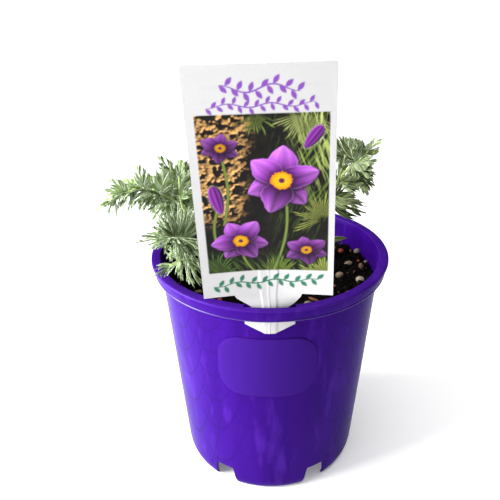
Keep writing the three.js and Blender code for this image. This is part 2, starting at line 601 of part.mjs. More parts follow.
// Every leaf by name. path runs from the stalk's foot in the soil to the tip of the midrib, upper is
// the side that the blade's upper face looks to, bladeStart the place where the first leaflets grow,
// leaflet the length of the longest ones, spread their angle to the midrib, lift how far they rise
// to a V, arch how far they droop.
const LEAVES = {
  leaf_far_left: {
    path: [[-12.5, 1, 121], [-14, 1, 134], [-36, 2, 160], [-52, 2, 176], [-66, -2, 187.5], [-79, -5, 192],
      [-91, -7, 188], [-98, -8, 184.5]],
    upper: [0.25, -0.25, 0.95], bladeStart: 0.55,
    leaflet: 22, spread: 78, lift: 0.45, arch: 0.12, pairs: 5, key: 1,
    steps: 14,
  },
  leaf_upper_left: {
    path: [[-11, 7.5, 121], [-12.5, 8.5, 134], [-30, 15, 158], [-48, 19, 176], [-57, 21, 186],
      [-64, 22, 195]],
    upper: [0.1, -0.9, 0.45], bladeStart: 0.84,
    leaflet: 23, spread: 75, lift: 0.1, arch: 0.05, pairs: 3, key: 2,
  },
  leaf_back_left: {
    path: [[-8.5, 12, 121], [-9.5, 13.5, 134], [-28, 28, 158], [-46, 36, 174], [-57, 40, 181],
      [-67, 42, 184]],
    upper: [0.3, -0.6, 0.75], bladeStart: 0.8,
    leaflet: 22, spread: 95, lift: 0.2, arch: 0.15, pairs: 3, key: 3,
  },
  leaf_young: {
    path: [[-7.5, -3.5, 121], [-8.5, -4.5, 134], [-27, -12, 158], [-43, -17, 172],
      [-51, -18.5, 186], [-52, -17.5, 206]],
    upper: [0.2, -0.9, 0.3], bladeStart: 0.86,
    leaflet: 8, spread: 45, lift: 0.3, arch: -0.3, pairs: 1, key: 4,
    footRadius: 1.15,
  },
  leaf_middle_left: {
    path: [[-16, -3, 121], [-18, -4, 134], [-35, -10, 151], [-48, -16, 163], [-57, -19, 168.5],
      [-66, -21, 169]],
    upper: [0.1, -0.4, 0.9], bladeStart: 0.82,
    leaflet: 18, spread: 85, lift: 0.1, arch: 0.2, pairs: 2, key: 16,
  },
  leaf_star_left: {
    path: [[-11.5, -6.5, 121], [-13, -8.5, 134], [-30, -25, 154], [-44, -38, 171], [-50.5, -43, 178],
      [-60, -49, 180]],
    upper: [-0.15, -0.5, 0.85], bladeStart: 0.84,
    leaflet: 26, spread: 122, lift: 0.05, arch: 0.06, pairs: 3, key: 5,
  },
  leaf_low_left: {
    path: [[-7.5, -11, 121], [-8.5, -13, 134], [-25, -24, 148], [-41, -34, 159], [-50, -39, 162],
      [-57, -43, 160]],
    upper: [-0.15, -0.55, 0.8], bladeStart: 0.84,
    leaflet: 22, spread: 112, lift: 0.05, arch: 0.1, pairs: 3, key: 6,
  },
  leaf_upper_right: {
    path: [[11.5, 2, 121], [12.5, 2, 134], [25, 1.5, 165], [38, 0.5, 191], [46, 0, 202],
      [52.5, -1, 209], [58, -2, 215]],
    upper: [0.1, -0.8, 0.6], bladeStart: 0.88,
    leaflet: 21, spread: 105, lift: 0.1, arch: 0.05, pairs: 3, key: 7,
  },
  leaf_right_inner: {
    path: [[7.5, -3.5, 121], [8.5, -4.5, 134], [20, -8, 160], [33, -10, 186], [40, -10, 200],
      [42, -10, 207]],
    upper: [0, -0.9, 0.4], bladeStart: 0.9,
    leaflet: 18, spread: 60, lift: 0.1, arch: 0.05, pairs: 2, key: 8,
  },
  leaf_right: {
    path: [[10.5, 8.5, 121], [11.5, 9.5, 134], [25, 14, 160], [37, 17, 178], [45, 18, 186], [53, 18, 190]],
    upper: [0.1, -0.7, 0.7], bladeStart: 0.84,
    leaflet: 20, spread: 80, lift: 0.1, arch: 0.1, pairs: 2, key: 9,
  },
  leaf_lower_right: {
    path: [[9, -9, 121], [10, -10.5, 134], [20, -17, 158], [29, -22, 180], [36, -25, 195], [43, -28, 194]],
    upper: [0.3, -0.75, 0.6], bladeStart: 0.87,
    leaflet: 25, spread: 80, lift: 0.05, arch: 0.12, pairs: 3, key: 10,
    color: 0x5f7c4c,
  },
  leaf_small: {
    path: [[14, 5.5, 121], [15.5, 6.5, 134], [28, 14, 141.5], [41, 21, 145], [49, 25, 142]],
    upper: [0.1, -0.4, 0.9], bladeStart: 0.8,
    leaflet: 16, arch: 0.15, key: 11, footRadius: 1, steps: 8,
  },
  leaf_back: {
    path: [[-3, 13.5, 121], [-3.5, 15, 134], [-8, 28, 160], [-12, 40, 178], [-14, 50, 185], [-15, 58, 186]],
    upper: [0, 0.2, 0.95], bladeStart: 0.84,
    leaflet: 23, spread: 100, lift: 0.2, arch: 0.15, pairs: 3, key: 12,
  },
  leaf_back_right: {
    path: [[4, 12.5, 121], [5, 14, 134], [16, 27, 158], [27, 38, 172], [34, 45, 176], [40, 51, 175]],
    upper: [0, 0.2, 0.95], bladeStart: 0.84,
    leaflet: 22, spread: 100, lift: 0.15, arch: 0.15, pairs: 3, key: 13,
  },
  leaf_centre: {
    path: [[0.5, 7.5, 121], [0.5, 8.5, 134], [1, 10, 165], [0, 7, 190], [-1, 2, 203], [-1, -6, 210]],
    upper: [0, -0.3, 0.95], bladeStart: 0.86,
    leaflet: 22, spread: 100, lift: 0.2, arch: 0.12, pairs: 3, key: 14,
  },
  leaf_front: {
    path: [[0.5, -8, 121], [0.5, -9.5, 134], [2, -22, 152], [4, -33, 164], [5, -40, 167], [5.5, -46, 166]],
    upper: [0, -0.2, 0.95], bladeStart: 0.84,
    leaflet: 18, spread: 105, lift: 0.15, arch: 0.12, pairs: 3, key: 15,
  },
};

const plant = new THREE.Group();
plant.position.set(POT_X, POT_Y, 0);
Object.values(LEAVES).forEach(layOut);
const holes = Object.values(LEAVES).map(stalkHole);
plant.add(buildPot(), buildSoil(holes), buildRootstock(), buildTag(), buildSticker());
for (const [name, leaf] of Object.entries(LEAVES)) {
  plant.add(leaf.pairs ? buildLeaf(name, leaf) : buildSimpleLeaf(name, leaf));
}

const pottedPasqueFlower = new THREE.Group();
pottedPasqueFlower.add(plant);

export default pottedPasqueFlower;
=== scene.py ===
"""A pasque flower in leaf in a violet nursery pot with a lock-in plant label, dressed around the
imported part. Shapes are worked out in millimetres with the pot's axis at the origin, and are set
into the row frame, in metres, when their mesh is made. Angles run from the pot's front."""

import math

import bmesh
import bpy
import numpy as np
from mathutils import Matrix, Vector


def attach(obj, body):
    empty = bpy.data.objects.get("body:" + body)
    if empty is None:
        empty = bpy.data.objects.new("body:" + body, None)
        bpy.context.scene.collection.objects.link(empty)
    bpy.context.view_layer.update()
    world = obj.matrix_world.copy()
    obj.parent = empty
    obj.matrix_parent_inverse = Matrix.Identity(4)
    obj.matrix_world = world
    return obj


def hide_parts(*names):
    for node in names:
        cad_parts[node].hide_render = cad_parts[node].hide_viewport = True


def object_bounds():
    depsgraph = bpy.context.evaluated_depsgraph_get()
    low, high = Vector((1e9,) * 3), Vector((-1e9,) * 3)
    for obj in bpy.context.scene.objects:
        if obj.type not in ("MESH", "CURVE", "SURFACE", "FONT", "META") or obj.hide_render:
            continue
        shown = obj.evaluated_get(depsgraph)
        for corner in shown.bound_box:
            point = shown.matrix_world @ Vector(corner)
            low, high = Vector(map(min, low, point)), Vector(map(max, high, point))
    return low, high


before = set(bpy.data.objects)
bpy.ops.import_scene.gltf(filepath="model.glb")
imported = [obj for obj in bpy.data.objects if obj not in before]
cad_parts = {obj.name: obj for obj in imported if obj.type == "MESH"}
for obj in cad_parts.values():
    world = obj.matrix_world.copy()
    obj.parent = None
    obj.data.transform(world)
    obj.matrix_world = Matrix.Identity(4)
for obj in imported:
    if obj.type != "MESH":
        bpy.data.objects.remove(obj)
cad_low, cad_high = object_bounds()

MM = 0.001
POT_X = 15.6
POT_Y = 3.2

# Pot
POT_HEIGHT = 150.0
RIM_RADIUS = 75.0
RIM_INNER_RADIUS = 70.0
SKIRT_BOTTOM_Z = 141.75
SKIRT_BOTTOM_RADIUS = 73.1
SKIRT_INNER_RADIUS = 72.0
FLANGE_THICKNESS = 1.6
FLANGE_UNDERSIDE_Z = POT_HEIGHT - FLANGE_THICKNESS
FLARE_DEPTH = 2.2
FLARE_OUT = 0.3
BEAD_OUT = 0.35
BEAD_HEIGHT = 0.6
LIP_DEPTH = 3.0
BASE_FILLET = 3.0
WALL_THICKNESS = 1.5
WALL_FOOT_Z = 20.0
WALL_FOOT_RADIUS = 60.2
WALL_TAPER = 0.075
FOOT_TUCK = 2.7
FOOT_TUCK_HEIGHT = 10.0
FOOT_BEVEL = 0.35
FEET = 6
NOTCH_HEIGHT = 15.0
NOTCH_HALF_ANGLE = math.radians(8)
NOTCH_CORNER_ANGLE = math.radians(2.4)
NOTCH_TURN = NOTCH_HALF_ANGLE + 0.2 * NOTCH_CORNER_ANGLE
BASE_UNDERSIDE_Z = 15.6
BASE_TOP_Z = 17.2
BASE_CENTRE_RADIUS = 2.0
DRAIN_RADIUS = 5.0
DRAIN_CIRCLE_RADIUS = 38.0
DRAIN_SIDES = 32
DRAIN_CUT_DEPTH = 3
SLOT_WIDTH = 28.7
SLOT_INNER_RADIUS = 69.75
SLOT_OUTER_RADIUS = 71.85
SLOT_HALF_ANGLE = SLOT_WIDTH / (SLOT_INNER_RADIUS + SLOT_OUTER_RADIUS)
POT_COLUMNS = 240
SLOT_COLUMNS = 25
NOTCH_COLUMNS = 12
FOOT_ROWS = 14
POT_SHARP_DEGREES = 40

# Violet plastic: its two body colours, the pale violet of its smears and of the painted light on the
# flange's top, and the net's lines
VIOLET_DEEP = (0.023, 0.0022, 0.128)
VIOLET_BRIGHT = (0.031, 0.0034, 0.166)
VIOLET_SMEAR_AND_RIM_LIGHT = (0.085, 0.020, 0.34)
VIOLET_NET = (0.013, 0.0017, 0.072)

# Net of darker scalloped lines on the wall: the angle it mirrors about, how fast its scallops rise, in
# metres a square radian, its row number from height as a quadratic, how thin its lines are, how far below
# the skirt it ends, and each set of scallops' angle, phase, reach and depth
NET_MIDDLE = math.radians(5)
NET_BEND = 0.36
NET_ROWS = (-0.4, 21.5, 170.0)
NET_SHARPNESS = 11.0
NET_DROP = 6
NET_FEEDS = ((58.0, 0.0, 34.0, 0.62), (37.0, 0.45, 26.0, 0.4), (16.0, 0.1, 24.0, 0.16))

# Soil
SOIL_EDGE_Z = 133.0
SOIL_BUMP = 1.3
SOIL_GAP = 0.5
SOIL_BASE_GAP = 0.4
SOIL_FOOT_CUT = 2.6
SOIL_SIDE_Z = 110.0
SOIL_CENTRE_RADIUS = 0.4
SOIL_RINGS = 96
SOIL_COLUMNS = 300

# Rootstock
ROOT_TOP_Z = 139.0
ROOT_BOTTOM_Z = 92.0
ROOT_RADIUS = 4.6
BUDS = 4
BUD_RADIUS = 1.5
BUD_LENGTH = 6.5
BUD_LEAN = 0.25
BUD_PLACE = (2.6, 139.6)

# Label
TAG_THICKNESS = 0.6
TAG_HALF_WIDTH = 33.65
TAG_HEIGHT = 118.9
TAG_FOOT = np.array([-0.85, -74.0, 158.0])
TAG_UP = np.array([-4.05, -7.7, 118.6])
TAG_BACK = np.array([0.0, 1.0, 0.065])
TAG_SAG = 4.0
TAG_WALL_GAP = 0.5
TAG_TUCK = 0.6
TAG_NECK_HALF_WIDTH = 17.6
TAG_SLOT_HALF_WIDTH = 10.1
TAG_BARB_HALF_WIDTH = 13.7
TAG_POINT_HALF_WIDTH = 2.9
TAG_SLOT_DROP = 8.3
TAG_BARB_TOP_DROP = 10.7
TAG_BARB_SIDE_DROP = 20.2
TAG_POINT_DROP = 25.9
CARD_COARSE = 4
CARD_ROWS = 86
CARD_COLUMNS = 49
CARD_CORNER = 1.0

# Print: the card's own white, the back's white, painted paler to lift its shade, the ink, and the picture's
# edges on the label's face
PAPER = np.array([0.46, 0.456, 0.461])
PAPER_BACK_PAINTED_LIGHT = 0.8
INK_DEPTH = 0.95
INK_CONTRAST = 1.2
PICTURE_LEFT, PICTURE_RIGHT, PICTURE_LOW, PICTURE_TOP = -29.6, 30.7, 14.9, 97.4
PETAL_DEEP = np.array([0.26, 0.035, 0.38])
PETAL_PALE = np.array([0.50, 0.19, 0.62])
PETAL_GLOW = (0.66, 0.42, 0.74)

# Blank panel on the wall: its rings' sizes from the middle out, and the heights of its back over the
# wall gap, of its rim, and of its face
PANEL_WIDTH = 58.7
PANEL_HEIGHT = 42.8
PANEL_CENTRE_Z = 106.0
PANEL_OFFSET = -1.6
PANEL_CORNER = 15.0
PANEL_GAP = 0.45
PANEL_INNER_RINGS = (0.06, 0.2, 0.35, 0.5, 0.65, 0.78, 0.9)
PANEL_RIM_RINGS = (1, 1, 0.996, 0.99)
PANEL_BACK = -0.33
PANEL_RIM_LIFTS = (-0.43, -0.02, 0.1, 0.15)
PANEL_FACE = 0.15

# Leaves: where the last pair of leaflets is, as a share of the leaf's length, its angle in degrees,
# how much more each pair is lifted, and the end leaflet's place and size
LAST_PAIR = 0.9
LAST_SPREAD = 38
PAIR_LIFT = 0.14
END_PLACE = 0.97
END_SIZE = 0.62
# Their segments: stations along each, its section's places across, heights and upper side, and the
# angle that a tooth turns from its lobe
STATIONS = 9
SECTION_ACROSS = np.array([-1, -0.55, 0, 0.55, 1, 0.55, 0, -0.55])
SECTION_HEIGHT = np.array([0.1, 0.5, 0.18, 0.5, 0.1, -0.4, -0.6, -0.4])
UPPER_SIDE = np.array([0.5, 1, 1, 1, 0.5, 0, 0, 0])
BLADE_THICKNESS = 0.5
BLADE_FOLD = 0.3
RIB_TIP_RADIUS = 0.55
FORK = math.radians(20)
# Their hairs: how many, their radius, and their shortest and longest length
HAIRS_A_SEGMENT, HAIR_RADIUS, HAIR_LENGTHS = 6, 0.02, (0.6, 1.5)
HAIRS_A_STALK, STALK_HAIR_RADIUS, STALK_HAIR_LENGTHS = 420, 0.026, (0.8, 1.8)

# Stage: half the floor's width in metres, and the camera, from the outlines of the rim, base and label
FLOOR_REACH = 30.0
CAMERA_PLACE = (15.6 * MM, -333.2 * MM, 315.7 * MM)
CAMERA_PITCH = math.radians(26.4)
SENSOR_WIDTH = 36
PICTURE_SIZE = 500
FOCAL_PIXELS = 585.5
AXIS_PIXEL_X = 270


def unit(vectors):
    """Vectors scaled to length 1."""
    return vectors / np.linalg.norm(vectors, axis=-1, keepdims=True)


def smoothstep(x, low, high):
    """3x² - 2x³ of the share of the way from low to high."""
    share = np.clip((x - low) / (high - low), 0, 1)
    return share * share * (3 - 2 * share)


def jitter(key):
    """A repeatable number from -1 to 1 for each key."""
    value = np.sin(np.asarray(key, float) * 12.9898) * 43758.5453
    return 2 * (value - np.floor(value)) - 1


def turned(x, y, angle, size):
    """Places along and aside of a direction on the flat, in shares of a size."""
    cos, sin = math.cos(angle), math.sin(angle)
    return (x * cos + y * sin) / size, (y * cos - x * sin) / size


def around(radius, angle, z):
    """Points at radii and heights, at angles from the front round the pot's axis."""
    radius, angle, z = np.broadcast_arrays(radius, angle, z)
    return np.stack([radius * np.sin(angle), -radius * np.cos(angle), z], axis=-1)


def grid_quads(rows, columns, close_rows=False, close_columns=False, start=0):
    """The quads of a grid of points numbered row by row; a closed way joins its last line to its first."""
    i = np.arange(rows if close_rows else rows - 1)
    j = np.arange(columns if close_columns else columns - 1)
    i, j = np.meshgrid(i, j, indexing="ij")
    below, beside = (i + 1) % rows, (j + 1) % columns
    corners = (i * columns + j, i * columns + beside, below * columns + beside, below * columns + j)
    return start + np.stack(corners, axis=-1).reshape(-1, 4)


def closed_tube(rows, columns, start=0):
    """A grid closed round its columns, with one flat cap at each end."""
    ring = start + np.arange(columns)[None]
    quads = grid_quads(rows, columns, close_columns=True, start=start)
    return [quads, ring[:, ::-1], ring + (rows - 1) * columns]


def strip_faces(strips, stations, section):
    """Closed strips: side quads, and one cap at each end."""
    start = np.arange(strips)[:, None, None] * stations * section
    quads = (start + grid_quads(stations, section, close_columns=True)).reshape(-1, 4)
    first = start[:, 0] + np.arange(section)[::-1]
    last = start[:, 0] + (stations - 1) * section + np.arange(section)
    return [quads, first, last]


def make_piece(name, points, faces, materials, node=None, sharp=35, attributes=None,
               face_material=None):
    """A mesh piece from points in pot millimetres and blocks of faces with equal corner counts. It
    replaces a solid's node and keeps edges hard above an angle in degrees."""
    mesh = bpy.data.meshes.new(name)
    place = (points.reshape(-1, 3) + (POT_X, POT_Y, 0)) * MM
    mesh.vertices.add(len(place))
    mesh.vertices.foreach_set("co", place.astype(np.float32).ravel())
    blocks = [block for block in (faces if isinstance(faces, list) else [faces]) if len(block)]
    corners = np.concatenate([block.ravel() for block in blocks]).astype(np.int32)
    sizes = np.concatenate([np.full(len(block), block.shape[1]) for block in blocks])
    mesh.loops.add(len(corners))
    mesh.loops.foreach_set("vertex_index", corners)
    mesh.polygons.add(len(sizes))
    mesh.polygons.foreach_set("loop_start", (np.cumsum(sizes) - sizes).astype(np.int32))
    if face_material is not None:
        mesh.polygons.foreach_set("material_index", face_material.astype(np.int32))
    for key, values in (attributes or {}).items():
        layer = mesh.attributes.new(key, "FLOAT_COLOR", "POINT")
        layer.data.foreach_set("color", values.astype(np.float32).ravel())
    mesh.update(calc_edges=True)
    mesh.validate()
    mesh.shade_smooth()
    mesh.set_sharp_from_angle(angle=math.radians(sharp))
    for material in materials if isinstance(materials, list) else [materials]:
        mesh.materials.append(material)
    piece = bpy.data.objects.new(name, mesh)
    bpy.context.scene.collection.objects.link(piece)
    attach(piece, "root")
    if node:
        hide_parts(node)
    return piece


def add_node(tree, kind, inputs=None, **settings):
    """A shader node; an input is set to a value, or linked where it is another node's socket."""
    node = tree.nodes.new(kind)
    for key, value in settings.items():
        setattr(node, key, value)
    for socket, value in (inputs or {}).items():
        if isinstance(value, bpy.types.NodeSocket):
            tree.links.new(value, node.inputs[socket])
        else:
            node.inputs[socket].default_value = value
    return node


def new_finish(name, **sockets):
    """A material with its shader's sockets set; it gives the material, its tree and the shader."""
    material = bpy.data.materials.new(name)
    material.use_nodes = True
    tree = material.node_tree
    shader = tree.nodes["Principled BSDF"]
    for socket, value in sockets.items():
        shader.inputs[socket.replace("_", " ")].default_value = value
    return material, tree, shader


def ramp(tree, factor, stops):
    """A colour ramp through (place, colour) stops."""
    node = add_node(tree, "ShaderNodeValToRGB", {"Fac": factor})
    elements = node.color_ramp.elements
    while len(elements) < len(stops):
        elements.new(0.5)
    for element, (place, colour) in zip(elements, stops):
        element.position = place
        element.color = (*colour, 1)
    return node.outputs["Color"]


def object_place(tree):
    """The piece's own coordinates, in metres."""
    return add_node(tree, "ShaderNodeTexCoord").outputs["Object"]


def noise(tree, scale, detail=3.0, roughness=0.5, vector=None):
    """A noise pattern on the object's own coordinates, its scale in waves a metre."""
    place = object_place(tree) if vector is None else vector
    inputs = {"Vector": place, "Scale": scale, "Detail": detail, "Roughness": roughness}
    return add_node(tree, "ShaderNodeTexNoise", inputs).outputs["Fac"]


def drawn_out_noise(tree, scale, detail, roughness, share):
    """Noise drawn out upwards: its height counts for a share only."""
    inputs = {"Vector": object_place(tree), "Scale": (1, 1, share)}
    return noise(tree, scale, detail, roughness, add_node(tree, "ShaderNodeMapping", inputs).outputs[0])


def map_range(tree, value, low, high, to_low, to_high):
    """The share of the way from low to high, held between 0 and 1, as a number between two others."""
    inputs = {"Value": value, "From Min": low, "From Max": high, "To Min": to_low, "To Max": to_high}
    return add_node(tree, "ShaderNodeMapRange", inputs).outputs[0]


def math_node(tree, operation, *values, clamp=False):
    """One arithmetic step on numbers or sockets."""
    node = add_node(tree, "ShaderNodeMath", operation=operation, use_clamp=clamp)
    for index, value in enumerate(values):
        if isinstance(value, bpy.types.NodeSocket):
            tree.links.new(value, node.inputs[index])
        else:
            node.inputs[index].default_value = value
    return node.outputs[0]


def times(tree, first, second):
    """The product of two numbers or sockets."""
    return math_node(tree, "MULTIPLY", first, second)


def minus(tree, first, second, clamp=False):
    """The difference of two numbers or sockets."""
    return math_node(tree, "SUBTRACT", first, second, clamp=clamp)


def mix_colours(tree, factor, first, second, blend="MIX"):
    """Two colours mixed by a factor."""
    node = add_node(tree, "ShaderNodeMix", data_type="RGBA", blend_type=blend)
    for index, value in ((0, factor), (6, first), (7, second)):
        if isinstance(value, bpy.types.NodeSocket):
            tree.links.new(value, node.inputs[index])
        else:
            node.inputs[index].default_value = value if index == 0 else (*value[:3], 1)
    return node.outputs[2]


def add_bump(tree, shader, height, strength, distance):
    """Fine relief on a shader from a height pattern; distance is in metres."""
    inputs = {"Height": height, "Strength": strength, "Distance": distance}
    bump = add_node(tree, "ShaderNodeBump", inputs)
    tree.links.new(bump.outputs["Normal"], shader.inputs["Normal"])


def grained_finish(name, fineness, stops, strength, distance, attribute=None, **sockets):
    """A finish coloured by a ramp over noise, with the noise as its relief too; where the piece has a
    colour attribute, the ramp shades that colour."""
    material, tree, shader = new_finish(name, **sockets)
    pattern = noise(tree, *fineness)
    colour = ramp(tree, pattern, stops)
    if attribute:
        own = add_node(tree, "ShaderNodeAttribute", attribute_name=attribute).outputs["Color"]
        colour = mix_colours(tree, 1.0, own, colour, "MULTIPLY")
    tree.links.new(colour, shader.inputs["Base Color"])
    add_bump(tree, shader, pattern, strength, distance)
    return material


# Pot


def wall_radius(z):
    """The outside of the wall: a cone."""
    return WALL_FOOT_RADIUS + WALL_TAPER * (z - WALL_FOOT_Z)


def inner_radius(z):
    """The inside of the wall."""
    return wall_radius(z) - WALL_THICKNESS


def foot_radius(z):
    """The cone of the wall, tucked in towards the ground by a cubic."""
    return wall_radius(z) - FOOT_TUCK * np.clip(1 - z / FOOT_TUCK_HEIGHT, 0, 1) ** 3


def foot_edge(angle):
    """The height of the wall's lower edge round the pot: 0 at a foot, the notch's height in a notch."""
    pitch = 2 * math.pi / FEET
    from_notch = np.abs((angle + math.pi) % pitch - pitch / 2)
    return NOTCH_HEIGHT * (1 - smoothstep(from_notch, NOTCH_HALF_ANGLE - NOTCH_CORNER_ANGLE, NOTCH_TURN))


def rounded(corners, steps=5):
    """A polyline with each corner (radius, height, cut) replaced by a quadratic curve that starts and
    ends at its cut's distance from the corner."""
    points = []
    for k, (x, z, cut) in enumerate(corners):
        corner = np.array([x, z])
        if cut == 0 or k in (0, len(corners) - 1):
            points.append(corner[None])
            continue
        before, after = np.array(corners[k - 1][:2]), np.array(corners[k + 1][:2])
        start, end = corner + unit(before - corner) * cut, corner + unit(after - corner) * cut
        t = np.linspace(0, 1, steps)[:, None]
        points.append((1 - t) ** 2 * start + 2 * t * (1 - t) * corner + t**2 * end)
    return np.concatenate(points)


def rim_profile():
    """The profile up the wall's outside, out under the flange, down inside the skirt, round the bead,
    up to the rim, over the flange and down the inside to the base, as corners (radius, height, cut)."""
    flare_z = FLANGE_UNDERSIDE_Z - FLARE_DEPTH
    bead_radius, bead_top = SKIRT_BOTTOM_RADIUS + BEAD_OUT, SKIRT_BOTTOM_Z + BEAD_HEIGHT
    return rounded([
        (wall_radius(WALL_FOOT_Z + 1), WALL_FOOT_Z + 1, 0),
        (wall_radius(flare_z), flare_z, 0),
        (wall_radius(flare_z) + FLARE_OUT, FLANGE_UNDERSIDE_Z, 0.6),
        (SLOT_INNER_RADIUS - 0.1, FLANGE_UNDERSIDE_Z, 0),
        (SLOT_OUTER_RADIUS + 0.05, FLANGE_UNDERSIDE_Z, 0),
        (SKIRT_INNER_RADIUS + 0.2, FLANGE_UNDERSIDE_Z, 0.12),
        (SKIRT_INNER_RADIUS, SKIRT_BOTTOM_Z, 0.2),
        (bead_radius, SKIRT_BOTTOM_Z, 0.3),
        (bead_radius, bead_top, 0.3),
        (SKIRT_BOTTOM_RADIUS + 0.05, bead_top + 0.25, 0),
        (RIM_RADIUS - 0.02, POT_HEIGHT - 1.6, 0),
        (RIM_RADIUS, POT_HEIGHT, 1.3),
        (SLOT_OUTER_RADIUS, POT_HEIGHT, 0),
        (SLOT_INNER_RADIUS, POT_HEIGHT, 0),
        (RIM_INNER_RADIUS - 0.9, POT_HEIGHT - 0.1, 0.5),
        (inner_radius(POT_HEIGHT - LIP_DEPTH), POT_HEIGHT - LIP_DEPTH - 0.6, 1.2),
        (inner_radius(BASE_TOP_Z), BASE_TOP_Z, BASE_FILLET),
        (BASE_CENTRE_RADIUS, BASE_TOP_Z, 0),
    ])


def pot_angles():
    """The profile's angles: evenly round, and closer at the slot and at the notches' corners."""
    angles = [np.linspace(-SLOT_HALF_ANGLE, SLOT_HALF_ANGLE, SLOT_COLUMNS),
              np.linspace(0, 2 * math.pi, POT_COLUMNS, endpoint=False)]
    for k in range(FEET):
        for side in (-1, 1):
            corner = (k + 0.5) * (2 * math.pi / FEET) + side * (NOTCH_TURN - 0.6 * NOTCH_CORNER_ANGLE)
            reach = 0.7 * NOTCH_CORNER_ANGLE
            angles.append(np.linspace(corner - reach, corner + reach, NOTCH_COLUMNS))
    return np.unique(np.round(np.concatenate(angles) % (2 * math.pi), 4))


def open_slot(angle, radius, height, quads):
    """Leaves out the flange's faces between the slot's two radii, at its angles, and makes the four
    walls that join the slot's upper edges to its lower ones."""
    rows, columns = radius.shape
    turn = np.where(angle > math.pi, angle - 2 * math.pi, angle)
    in_slot = np.abs(turn) < SLOT_HALF_ANGLE + 1e-3
    row, column = quads[:, 0] // columns, quads[:, 0] % columns
    inner, outer = (pick(radius[0, :-1], radius[0, 1:]) for pick in (np.minimum, np.maximum))
    level = (np.abs(np.diff(height[0])) < 1e-6) & (height[0, :-1] > FLANGE_UNDERSIDE_Z - 0.1)
    between = (inner > SLOT_INNER_RADIUS - 0.2) & (outer < SLOT_OUTER_RADIUS + 0.1)
    strip = np.nonzero(level & between)[0]
    kept = quads[~(in_slot[row] & in_slot[(row + 1) % rows] & np.isin(column, strip))]
    low_in, low_out, top_out, top_in = strip[0], strip[0] + 1, strip[-1], strip[-1] + 1
    ring = np.nonzero(in_slot)[0]
    ring = ring[np.argsort(turn[ring])] * columns
    a, b = ring[:-1], ring[1:]
    walls = [
        np.stack([a + low_in, a + top_in, b + top_in, b + low_in], axis=-1),
        np.stack([b + low_out, b + top_out, a + top_out, a + low_out], axis=-1),
        np.array([ring[0] + np.array([low_in, low_out, top_out, top_in]),
                  ring[-1] + np.array([top_in, top_out, low_out, low_in])]),
    ]
    return kept, walls


def build_pot():
    """Turns one closed profile round the axis. Below the base the wall is two families of rings that
    run from the wavering lower edge up to the base, and the slot is left out of the flange's faces."""
    angle = pot_angles()
    edge = foot_edge(angle)[:, None]
    share = np.linspace(0, 1, FOOT_ROWS)[None]
    outer_z = edge + share * (WALL_FOOT_Z - edge)
    outer_r = foot_radius(outer_z)
    outer_z = outer_z + FOOT_BEVEL * (1 - np.clip(share * 10, 0, 1))
    inner_z = edge + (1 - share) * (BASE_UNDERSIDE_Z - edge)
    inner_r = foot_radius(inner_z) - WALL_THICKNESS
    rim = rim_profile()
    ones = np.ones((len(angle), 1))
    radius = np.hstack([ones * BASE_CENTRE_RADIUS, inner_r, outer_r, ones * rim[None, :, 0]])
    height = np.hstack([ones * BASE_UNDERSIDE_Z, inner_z, outer_z, ones * rim[None, :, 1]])
    rows, columns = radius.shape
    kept, walls = open_slot(angle, radius, height, grid_quads(rows, columns, close_rows=True))
    ends = (np.arange(rows) * columns)[None]
    blocks = [*walls, ends, ends[:, ::-1] + columns - 1]
    # The bead under the skirt is glossier than the rest, and the flange's top is painted paler as painted
    # light
    edge_z, edge_r = height[0, kept[:, 0] % columns], radius[0, kept[:, 0] % columns]
    from_bead = np.abs(edge_z - SKIRT_BOTTOM_Z - BEAD_HEIGHT / 2)
    bead = (from_bead < BEAD_HEIGHT / 2 + 0.1) & (edge_r > SKIRT_BOTTOM_RADIUS)
    top = (edge_z > POT_HEIGHT - 1.35) & (edge_r > RIM_INNER_RADIUS - 1.0)
    gloss_and_lit_top = np.concatenate([bead + 2 * top, np.zeros(sum(len(faces) for faces in blocks), int)])
    finishes = [violet_plastic("violet_plastic", 0.012, 0.0), violet_plastic("violet_edge", 0.4, 0.0),
                violet_plastic("violet_rim_painted_light", 0.05, 0.22)]
    pot = make_piece("pot_shell", around(radius, angle[:, None], height), [kept, *blocks], finishes,
                     "pot", sharp=POT_SHARP_DEGREES, face_material=gloss_and_lit_top)
    cut_drains(pot)


def cut_drains(pot):
    """Cuts the drain holes through the base with cylinders on a circle, one under each notch."""
    turns = ((np.arange(FEET) + 0.5) * 2 * math.pi / FEET)[:, None]
    sides = np.linspace(0, 2 * math.pi, DRAIN_SIDES, endpoint=False)
    x = DRAIN_CIRCLE_RADIUS * np.sin(turns) + DRAIN_RADIUS * np.cos(sides)
    y = -DRAIN_CIRCLE_RADIUS * np.cos(turns) + DRAIN_RADIUS * np.sin(sides)
    heights = (BASE_UNDERSIDE_Z - DRAIN_CUT_DEPTH, BASE_TOP_Z + DRAIN_CUT_DEPTH)
    points = np.stack([np.stack([x, y, np.full_like(x, z)], axis=-1) for z in heights], axis=1)
    faces = strip_faces(FEET, len(heights), DRAIN_SIDES)
    cutter = make_piece("drain_cutter", points, faces, pot.data.materials[0])
    boolean = pot.modifiers.new("drains", "BOOLEAN")
    boolean.object, boolean.operation, boolean.solver = cutter, "DIFFERENCE", "EXACT"
    evaluated = pot.evaluated_get(bpy.context.evaluated_depsgraph_get())
    cut = bpy.data.meshes.new_from_object(evaluated)
    pot.modifiers.clear()
    pot.data = cut
    cut.set_sharp_from_angle(angle=math.radians(POT_SHARP_DEGREES))
    bpy.data.objects.remove(cutter)


